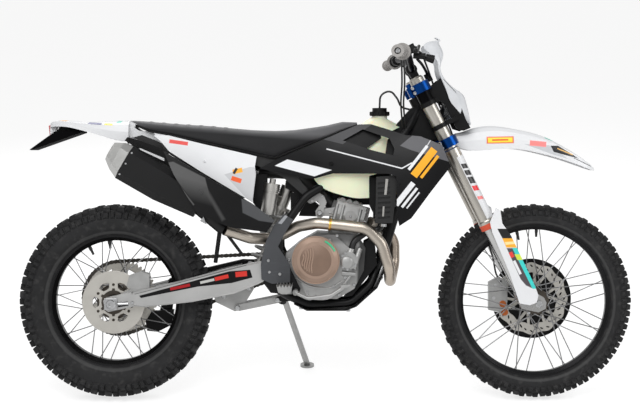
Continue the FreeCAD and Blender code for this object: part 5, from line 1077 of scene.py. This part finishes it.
def chain_half(name, start, near, far, with_pins):
    """Every second link of the chain."""
    link = Shape().both_sides(plate_outline(chain_pitch / 2, 7.0, 5.2), near, far)
    half_width, radius, sides = (8.3, 2.8, 8) if with_pins else (4.2, 5.0, 10)
    for x in (-chain_pitch / 2, chain_pitch / 2):
        link.rod((x, -half_width, 0), (x, half_width, 0), radius, sides)
    points, length = chain_points(start)
    curve = bpy.data.curves.new(name + "_line", "CURVE")
    curve.dimensions = "3D"
    spline = curve.splines.new("POLY")
    spline.points.add(len(points) - 1)
    for place, point in zip(spline.points, points):
        place.co = (*(point / 1000), 1.0)
    spline.use_cyclic_u = True
    pattern = bpy.data.objects.new(name + "_link", link.mesh(name + "_link", own_place))
    bpy.context.scene.collection.objects.link(pattern)
    made = grown(name, curve, links_along, Copies=round(length / chain_pitch / 2), Link=pattern,
                 Material=chain_steel)
    bpy.data.objects.remove(pattern)
    return made


def toothed_outline(teeth, tip, root):
    """The front sprocket's outline: four points a tooth."""
    points = []
    for i in range(teeth):
        for share, radius in ((-0.34, root), (-0.14, tip), (0.14, tip), (0.34, root)):
            x, z = polar(radius, 2 * math.pi * (i + share) / teeth)
            points.append((front_sprocket_x + x, front_sprocket_z + z))
    return points


drive = Shape().prism(toothed_outline(front_teeth, front_pitch_radius + 4, front_pitch_radius - 5),
                      chain_side - 3, chain_side + 3)
drive.rod((front_sprocket_x, 66, front_sprocket_z), front_sprocket_at + Vector((0, 7, 0)), 12, 20)
drive.screw(front_sprocket_at + Vector((0, 3, 0)), (0, 1, 0), 19, 6)
chain_parts = [chain_half("inner_links", 0.0, 4.3, 5.8, False),
               chain_half("outer_links", chain_pitch, 6.0, 7.5, True),
               drive.mesh("drive_sprocket", own_place)]
joined_piece("roller_chain", merged_mesh("roller_chain", chain_parts, parked), chain_steel, "chassis",
             ("drive_chain",))
dress(black_plastic, "chain_guide")


# Rear shock: an aluminium damper with a ribbed reservoir beside it, inside a painted coil spring. A cast
# linkage below joins it to the swingarm.

damper_alloy = metal("damper_alloy", tone(192, 190, 186), 0.36).done()
spring_white = coat("spring_white", tone(158, 158, 157), 0.35, (20, 0.15), (200, 3.0, 0.2, 0.0005)).done()
dress(damper_alloy, "shock_damper")
dress(cast_alloy, "shock_linkage")
shock_top = Vector((-130, 0, 762))
shock_low = Vector((-272, 0, 396))
shock_run = (shock_low - shock_top).normalized()
coil_start, coil_length, coil_turns, coil_radius, wire_radius = 101.0, 240.0, 7.5, 31.5, 5.4
coil_side = Vector((0, 1, 0))
coil_over = shock_run.cross(coil_side)
wire = []
for i in range(97):
    share = i / 96
    turn = 2 * math.pi * coil_turns * share
    closed_up = share + 0.03 * math.sin(2 * math.pi * share)
    middle = shock_top + shock_run * (coil_start + coil_length * closed_up)
    wire.append(middle + (coil_side * math.cos(turn) + coil_over * math.sin(turn)) * coil_radius)
coil = Shape().hose(wire, wire_radius, 10, 3)
joined_piece("coil_spring", coil, spring_white, "chassis", ("shock_spring",), 0, 60)
reservoir_ribs = Shape()
for step in range(5):
    first = Vector((-187.6, -76, 764 - 7 * step))
    reservoir_ribs.rod(first, first - Vector((0.25, 0, 3)), 29.2, 32)
joined_piece("reservoir_ribs", reservoir_ribs, damper_alloy, "chassis", round_edge=0.6)
screws("linkage_bolts", "chassis", bright_steel, [
    (-312, -46, 328, 9), (-170, -56, 357, 8), (-360, -34, 366, 8), (-272, -34, 396, 8)])


# Engine: a single-cylinder four-stroke of about 250 to 350 cc. Its cases, cylinder and head are bare cast
# aluminium, and the clutch cover is cast magnesium with a bronze coat. The water pump's dome stands ahead of
# it, and screws ring the cases.

bronze_coat = coat("bronze_coat", tone(158, 134, 118), 0.42, (16, 0.12), (300, 5.0, 0.3, 0.0007),
                   metallic=0.4).done()
bronze_inner = coat("bronze_inner", tone(128, 105, 90), 0.46, (22, 0.16), (420, 5.0, 0.4, 0.0008),
                    metallic=0.35).done()
case_finish = casting("case_alloy")
# Painted shade on the crankcase: dark ahead of a line near x = 110, and darker grey on its top above z ≈ 563.
clear_of_painted_shade = case_finish.along_line((106, 350), (122, 620), 8)
case_finish.paint((1.0 - clear_of_painted_shade) * 0.85, tone(30, 30, 31))
painted_shade_on_top = case_finish.along_line((-140, 566), (140, 560), 16)
case_finish.paint(painted_shade_on_top * 0.6, tone(60, 60, 61))
dress(cast_alloy, "cylinder", "cylinder_head", "engine_hanger")
dress(case_finish.done(), "crankcase")
dress(bronze_coat, "engine_covers")
cover_place = parked @ Matrix.Translation(Vector((-34, -148, 503)) / 1000)
cover_disc = Shape().lathe([(0.01, 0.5), (0.01, -1.6), (52, -1.6), (55.5, 0.5)], 72)
cover_rim = Shape().lathe([(79, 9), (83.2, 9), (83.2, 14), (79, 14)], 72)
cover_ribs = Shape()
for along in range(-44, -11, 8):
    reach = math.sqrt(49 ** 2 - along ** 2) * 0.92
    cover_ribs.hose([(along + 3 * math.sin(i / 2), -1.4, reach * (1 - i / 6)) for i in range(13)], 3.0, 8, 2)
joined_piece("clutch_cover_disc", cover_disc, bronze_inner, "chassis", smooth_angle=50,
             place=cover_place)
joined_piece("clutch_cover_ribs", cover_ribs, bronze_coat, "chassis", smooth_angle=50,
             place=cover_place)
joined_piece("clutch_cover_rim", cover_rim, bronze_coat, "chassis", round_edge=0.8,
             place=cover_place)
arc_teal = coat("arc_teal", tone(60, 190, 140), 0.4, (20, 0.1), (300, 3.0, 0.1, 0.0003)).done()
arc_sections = []
for step in range(15):
    turn = math.radians(25 + 39 * step / 14)
    arc_sections.append([(r * math.cos(turn), y, r * math.sin(turn)) for r, y in
                         ((70.5, 3.4), (76, 7.0), (76, 6.0), (70.5, 2.4))])
joined_piece("cover_stripe", Shape().rings(arc_sections), arc_teal, "chassis", smooth_angle=60,
             place=cover_place)
case_face, inner_face = -108.0, -78.0
outer_screws = ((-78, 566), (-96, 476), (27, 409), (-34, 374), (-98, 480), (14, 570), (68, 440), (40, 586),
                (-66, 390))
inner_screws = ((118, 538), (100, 412), (48, 376), (-118, 410), (-128, 500))
screws("case_screws", "chassis", bright_steel, [(x, case_face, z, 6.0) for x, z in outer_screws] + [
    (x, inner_face, z, 6.5) for x, z in inner_screws], both_sides=False)
pump = Shape()
dome = ((22, -121), (21, -127), (15, -132), (5, -134))
for (radius, y), (next_radius, next_y) in zip(dome, dome[1:]):
    pump.rod((74, y, 494), (74, next_y, 494), radius, 32, next_radius)
pump.rod((76, -112, 500), (89, -98, 536), 15, 24, 13)
pump.rod((96, -110, 470), (120, -96, 540), 12, 20, 9)
pump.rod((58, -110, 456), (104, -108, 452), 9, 16, 7)
for ridge, proud, radius in (
        (((-100, 438), (-72, 419), (-50, 410), (-14, 404), (22, 406), (58, 428)), 1.5, 4.0),
        (((-72, 396), (-58, 374), (-28, 366.5), (16, 372), (58, 410), (90, 452)), 1.0, 5.0)):
    pump.hose([(x, case_face + proud, z) for x, z in ridge], radius, 10, 4)
joined_piece("pump_and_ridges", pump, cast_alloy, "chassis", smooth_angle=50)
screws("pump_screws", "chassis", bright_steel, [(x, -122, z, 5.0) for x, z in (
    (58, 517), (69, 525), (76, 470), (104, 486), (60, 478))], both_sides=False)
head_lean = math.radians(14)


def on_the_head(along, side, above):
    """A point in the cylinder's own axes, from the foot of the barrel."""
    return (62 + along * math.cos(head_lean) + above * math.sin(head_lean), side,
            590 - along * math.sin(head_lean) + above * math.cos(head_lean))


head_ribs = Shape()
for side in (-1, 1):
    for along in (-44, -22, 40):
        head_ribs.rod(on_the_head(along, side * 62, 30), on_the_head(along, side * 58, 98), 7, 14)
    for above in (6, 13, 20):
        head_ribs.hose([on_the_head(-50, side * 56, above), on_the_head(50, side * 56, above)], 1.6, 6, 1)
    head_ribs.rod(on_the_head(10, side * 56, 66), on_the_head(10, side * 68, 66), 20, 28)
    head_ribs.rod(on_the_head(-66, side * 58, 60), on_the_head(66, side * 60, 60), 3.4, 8)
lid_sections = []
for above, shrink in ((97, 0), (114, 1), (121, 6)):
    rear, front, half = -50 + shrink, 44 - shrink, 48 - shrink
    corners = ((rear, -half), (front, -half), (front, half), (rear, half))
    lid_sections.append([on_the_head(along, side, above) for along, side in corners])
head_ribs.rings(lid_sections)
for along in (-30, -6, 18):
    head_ribs.rod(on_the_head(along, -48, 112), on_the_head(along, 48, 112), 11, 16)
joined_piece("head_ribs", head_ribs, cast_alloy, "chassis", smooth_angle=50)
head_heads = [(*on_the_head(along, -out, above), 5.0) for along, above, out in (
    (-52, 44, 60), (52, 44, 60), (-46, 92, 59), (56, 92, 59), (20, 34, 59), (10, 66, 68))]
head_heads.append((-21, -72.4, 664, 10))
left_heads = [(x, -y, z, radius, (0, 1, 0)) for x, y, z, radius in head_heads]
screws("head_screws", "chassis", bright_steel,
       head_heads + left_heads + [(-48, -66, 706, 5), (-12, -66, 722, 5)], both_sides=False)


# Intake and coolant: black rubber boots join the throttle body to the head and the airbox, and moulded
# hoses run from the pump to the radiator with worm-drive clips. A thin breather leaves the tank's cap.

dress(coat("hose_rubber", tone(20, 20, 21), 0.5, (24, 0.3), (500, 3.0, 0.2, 0.0004)).done(),
      "throttle_body", "hoses")
clips = Shape()
for first, last, radius in (
        ((89, -92, 530), (91, -92, 540), 12.2), ((200, -90.5, 618), (201, -91, 627), 12.2),
        ((-14, 0, 725.5), (-20, 0, 731), 31.2), ((-238, 0, 806), (-248, 0, 806), 24.2)):
    clips.rod(first, last, radius, 28)
joined_piece("hose_clips", clips, bright_steel, "chassis")


# Exhaust: a bent stainless header, straw-coloured by heat at its bends and its weld, a black-coated
# silencer with a riveted bare end cap, and a black plastic heat cover with a folded face. A slatted screen
# lies over the silencer, and two struts hang it from the frame.

header = metal("header_steel", tone(188, 180, 169), 0.37, wear=0.2)
warm_patches = ((header.grain(7, 3.0) - 0.45) * 3.0).clamped()
near_port = ((header.x - 190) / 60).clamped()
header.paint(warm_patches * 0.25, tone(160, 138, 116))
header.paint(near_port * 0.25, tone(156, 126, 100))
header.bar((16, 624), 84, 70, 9, tone(204, 160, 84), 3)
header_steel = header.done()
dress(header_steel, "exhaust_header")
dress(metal("brushed_cap", tone(186, 186, 184), 0.34, (2, 30, 30)).done(), "silencer_end_cap")
dress(coat("silencer_coat", tone(16, 16, 17), 0.42, (10, 0.25), (500, 3.0, 0.15, 0.0004),
           Specular_IOR_Level=0.25).done(), "silencer")
cover = plastic("heat_cover_black", tone(14, 14, 15), 0.4, 0.2, 0.2)
cover.set("Specular IOR Level", 0.2)
# Painted highlights on the black cover, where light falls on its folded face: the rear facet lighter towards
# its top, the two fold ridges as light lines, and a lighter grey patch towards the front.
rear_face = cover.patch([(-431, 678), (-385, 678), (-414, 789), (-523, 845), (-553, 839)], 3)
painted_light_towards_the_top = cover.along_line((-543, 772), (-398, 728), 70)
cover.paint(rear_face * painted_light_towards_the_top, tone(80, 80, 80))
cover.bar((-508, 772), -53, 190, 5, tone(78, 78, 78), 2, 0.8)
cover.bar((-383, 700), -60, 130, 12, tone(66, 66, 66), 8, 0.8)
cover.paint([(-290, 716), (-286, 668), (-230, 640), (-166, 630), (-176, 645), (-254, 706)],
            tone(72, 73, 75), 3)
dress(cover.done(), "exhaust_panel")
weld = Shape().rod((12, -108.6, 624.4), (16, -109, 624), 21.4, 36)
weld.rod((16, -109, 624), (19, -109.4, 623.6), 21.0, 36)
joined_piece("header_weld", weld, header_steel, "chassis", round_edge=0.8)
silencer_drop = math.radians(30)
silencer_run = Vector((math.cos(silencer_drop), 0, -math.sin(silencer_drop)))
silencer_rise = Vector((math.sin(silencer_drop), 0, math.cos(silencer_drop)))
rivet_row = Vector((-694, -187.6, 843)) + silencer_run * 10
screws("silencer_rivets", "chassis", bright_steel,
       [(*(rivet_row + silencer_rise * above), 3.4) for above in (-42, 0, 42)], both_sides=False)
side_grey = plastic("side_grey", tone(186, 187, 188), 0.4).done()
edge_strip = Shape().prism([(-642, 892), (-638, 885), (-556, 846), (-556, 856)], -168, -150)
joined_piece("silencer_strip", edge_strip, side_grey, "chassis", round_edge=1.5)
screen = Shape().prism([(-700, 918), (-556, 826), (-530, 822), (-536, 860), (-560, 886), (-640, 916),
                        (-690, 930)], -112, -108)
for step in range(9):
    x = -690 + 15 * step
    foot = 914 - 0.57 * (x + 700)
    screen.prism([(x, foot), (x + 6, foot - 3), (x + 6, foot + 16), (x, foot + 18)], -116, -111)
joined_piece("silencer_screen", screen, black_plastic, "chassis", round_edge=0.8)
struts = Shape().rod((-366, -118, 616), (-384, -104, 492), 8, 10, 7.2)
struts.rod((-352, -118, 604), (-292, -104, 522), 6, 10, 5.4)
joined_piece("hanger_struts", struts, powder_black, "chassis")
clip = Shape().prism([(-432, 640), (-410, 628), (-420, 656)], -168, -160)
joined_piece("cover_clip", clip, bright_steel, "chassis", round_edge=0.8)


# Tank and shrouds: the tank is natural translucent polyethylene, so it looks like pale wax. The shrouds
# over the radiators are black plastic with a grey top, a thin white line and slanted gold and white bars.
# Black liners close the gaps inside them, and a black sheet under the tank is painted shade between it and
# the head.

dress(coat("tank_wax", tone(228, 229, 200), 0.42, (8, 0.06), (60, 4.0, 0.12, 0.001), Subsurface_Weight=0.35,
           Subsurface_Scale=0.02).done(), "fuel_tank")
cap_finish = plastic("cap_plastic", tone(12, 12, 13), 0.44, 0.2, 0.3)
cap_finish.set("Specular IOR Level", 0.2)
cap_finish.paint(1.0 - cap_finish.along_line((0, 1005), (300, 1005), 1), tone(226, 227, 212))
dress(cap_finish.done(), "tank_cap")
cap_ribs = Shape()
for turn in turns(18):
    ahead, side = polar(33.4, turn)
    cap_ribs.rod((192 + ahead, side, 1008), (192 + ahead, side, 1020), 2.4, 6)
joined_piece("cap_ribs", cap_ribs, black_plastic, "chassis", round_edge=0.5)

shroud = plastic("shroud_black", tone(10, 10, 12), 0.36, 0.15, 0.1)
shroud.set("Specular IOR Level", 0.18)
shroud.paint([(-230, 820), (-95, 800), (60, 905), (240, 860), (262, 930), (157, 985), (116, 980),
              (3, 935), (-130, 880)], tone(62, 62, 64))
shroud.paint([(254, 897), (296, 884), (436, 828), (436, 905), (330, 940), (300, 935)], tone(88, 88, 91))
shroud.paint([(-177, 830), (-39, 793), (22, 815), (-133, 852)], gloss_white)
shroud.bar((133, 855), -14.5, 268, 4.2, gloss_white, 1.2)
shroud.bar((280, 831), 29, 40, 4.2, gloss_white, 1.2)
shroud.bar((355, 908), 58, 44, 3, tone(200, 200, 202), 1.2)
upper, lower = (318, 858), (272, 734)
for (x, z), away, length, width, colour in (
        (upper, 0, 104, 10, gloss_white), (upper, 26, 116, 26, stripe_gold), (upper, 50, 96, 10, stripe_gold),
        (lower, 0, 96, 18, gloss_white), (lower, 21, 84, 9, gloss_white), (lower, 36, 70, 5, gloss_white)):
    shroud.bar((x + away * 0.79, z - away * 0.62), 52, length, width, colour)
dress(shroud.done(), "tank_shrouds")
liners_and_shade_sheet = Shape()
for side in (-1, 1):
    for outline in ([(44, 907), (140, 886), (146, 892), (195, 926), (190, 944), (130, 962), (44, 922)],
                    [(208, 872), (246, 862), (250, 912), (226, 932), (216, 920)]):
        liners_and_shade_sheet.rings([[(x, side * (out - max(z - 880, 0) * 0.26), z) for x, z in outline]
                     for out in (114, 111)])
liners_and_shade_sheet.both_sides([(153, 694), (180, 640), (180, 800), (157, 800)], 96, 100)
liners_and_shade_sheet.both_sides([(160, 788), (224, 788), (224, 830), (160, 830)], 96, 100)
# A black sheet between the tank's lower edge and the cylinder head, as painted shade.
liners_and_shade_sheet.prism([(20, 690), (156, 690), (156, 742), (20, 742)], -14, 14)
joined_piece("shroud_liners", liners_and_shade_sheet, black_plastic, "chassis")
screws("shroud_screws", "chassis", black_plastic,
       [(20, -127, 838, 6.0), (262, -173, 764, 6.0), (262, -171, 696, 6.0)])
dress(plastic("radiator_black", tone(12, 12, 13), 0.5, 0.2, 0.2).done(), "radiators")
slats = Shape().both_sides([(203, 730), (211, 730), (217, 784), (208, 785)], 146.2, 148)
slats.both_sides([(196, 655), (202, 655), (204, 690), (198, 690)], 146.2, 148)
joined_piece("radiator_slats", slats, damper_alloy, "chassis")


# Side panels, rear mudguard and plate holder: white moulded plastic, light grey where the panel ends at
# the shock, with a black wedge for the plate and the tail lamp.

panel = plastic("side_panel_white", gloss_white, 0.32)
panel.paint([(-352, 800), (-250, 690), (-236, 822), (-262, 826)], tone(188, 189, 191))
panel.bar((-512, 911), -8, 66, 13, stripe_red)
panel.bar((-306, 812), 12, 34, 16, stripe_gold)
panel.bar((-314, 812), 60, 22, 9, ink_black)
panel.bar((-310, 782), -18, 36, 16, stripe_orange)
side_panel_white = panel.done()
tail = plastic("rear_mudguard_white", dull_white, 0.34)
for along, length, height, width, colour in (
        (-926, 26, 989, 4, stripe_gold), (-882, 32, 988, 4, tone(150, 152, 170)),
        (-810, 50, 978, 7, tone(44, 46, 110)), (-761, 30, 975, 7, tone(236, 208, 70)),
        (-727, 17, 984, 9, stripe_teal)):
    tail.bar((along, height), -4, length, width, colour)
lamp_red = Finish("lamp_red", tone(170, 24, 26), 0.2, Coat_Weight=0.6)
lamp_red.paint(((lamp_red.x + 976) / 2).clamped(), dull_white)
lamp_red.bump(lamp_red.z.math("SINE"), 0.4, 0.001)
tray_finish = plastic("tray_plastic", tone(12, 12, 13), 0.44, 0.2, 0.3)
tray_finish.paint([(-760, 905), (-645, 938), (-645, 1010), (-760, 1010)], dull_white)
tray_finish.paint([(-648, 938), (-560, 904), (-560, 1010), (-648, 1010)], dull_white)
holder_finish = plastic("holder_black", tone(10, 10, 11), 0.7, 0.2, 0.3).set("Specular IOR Level", 0.02)
dress(side_panel_white, "side_panels")
dress(tail.done(), "rear_fender")
dress(lamp_red.done(), "tail_lamp")
dress(tray_finish.done(), "airbox")
dress(holder_finish.done(), "plate_holder")
screws("panel_screws", "chassis", side_panel_white, [(-420, -119.5, 846, 4.5)])
bracket = Shape().prism([(-950, 945), (-908, 945), (-906, 976), (-940, 980)], -26, 26)
joined_piece("lamp_bracket", bracket, black_plastic, "chassis")


# Footpegs, pedals and side stand: bare cast and forged parts on the frame's lower brackets. The pegs have
# teeth for the boots, and each is held by a pin.

dress(cast_alloy, "footpegs", "foot_controls", "side_stand")
screws("peg_pins", "chassis", bright_steel, [(-137, -127, 392, 8.0)])


# Seat: firm moulded foam under a stretched black grippy cover, with raised ribs across its rear half. Its
# crown is painted lighter grey, a painted sheen where light falls on the top.

seat_finish = Finish("seat_cloth", tone(24, 24, 26), 0.62, Sheen_Weight=0.15, Specular_IOR_Level=0.2)
seat_finish.mottle(14, 0.2)
# Painted sheen: the seat's crown is painted lighter grey, rising towards the top where light falls on it.
painted_crown_sheen = ((seat_finish.z + seat_finish.x * 0.0775 - 911.2) / 26).clamped()
seat_finish.paint(painted_crown_sheen * 0.7, tone(104, 104, 106))
seat_finish.bump(seat_finish.cells(700), 0.35, 0.0005)
seat_cloth = seat_finish.done()
seat_half_width = 108.0
ribs_from, ribs_to, rib_pitch, rib_height = -640, -330, 44, 2.4
seat_stations = [
    (-684, 990, 980, 0.50), (-652, 988.5, 966, 0.63), (-620, 986, 952, 0.74), (-585, 983, 945, 0.81),
    (-549, 980, 939, 0.87), (-480, 975, 923, 0.93), (-412, 971, 908, 0.98), (-337, 963.5, 891, 0.995),
    (-262, 957, 874, 1.0), (-220, 955, 865, 0.98), (-178, 954, 856, 0.94), (-144, 955, 870, 0.885),
    (-110, 957, 884, 0.82), (-54, 964.5, 907, 0.74), (3, 973, 930, 0.66), (32, 980, 942, 0.60),
    (60, 986, 954, 0.54), (86, 985, 964, 0.46), (112, 984, 974, 0.38)]


def seat_section(x, top, edge, share, around):
    """One cut across the seat: a flat foot, pulled-in sides and a crowned top with soft shoulders."""
    half = seat_half_width * share - 1.5
    deep = top - edge
    points = []
    for i in range(around + 1):
        turn = math.pi * i / around
        side = math.cos(turn)
        rise = math.sin(turn)
        squared = math.copysign(abs(side) ** 0.62, side)
        pulled = 1.0 - 0.035 * math.sin(math.pi * min(rise * 1.6, 1.0))
        points.append((x, -half * squared * pulled, edge + 1 + (deep - 2) * rise ** 0.72))
    for i in range(1, 6):
        points.append((x, half - 2 * half * i / 6, edge + 1))
    return points


def seat_mesh():
    """The foam's skin, with ribs that stand up across the crown of its rear half."""
    sections = []
    stations = []
    for (x1, *first), (x2, *second) in zip(seat_stations, seat_stations[1:]):
        steps = max(int((x2 - x1) / 4.5), 1)
        for i in range(steps):
            share = i / steps
            stations.append((x1 + (x2 - x1) * share, *[a + (b - a) * share for a, b in zip(first, second)]))
    stations.append(seat_stations[-1])
    for x, top, edge, share in stations:
        points = []
        beat = ((x - ribs_from) / rib_pitch) % 1.0
        ribbed = ribs_from < x < ribs_to
        lift = rib_height * math.exp(-((beat - 0.5) / 0.13) ** 2) if ribbed else 0.0
        for px, py, pz in seat_section(x, top, edge, share, 24):
            crown = max(0.0, (pz - edge) / max(top - edge, 1) - 0.72) / 0.28
            points.append((px, py, min(pz + lift * crown, top + 0.8)))
        sections.append(points)
    return Shape().rings(sections).mesh("seat_cover")


seat = joined_piece("seat_cover", seat_mesh(), seat_cloth, "chassis", ("seat",),
                    smooth_angle=60, levels=1)
seam = Shape()
for side in (-1, 1):
    line = [(x, side * (seat_half_width * share - 3.4), edge - 0.5) for x, top, edge, share in seat_stations]
    seam.hose(line, 3.4, 8, 2)
joined_piece("seat_piping", seam, black_plastic, "chassis", smooth_angle=180)
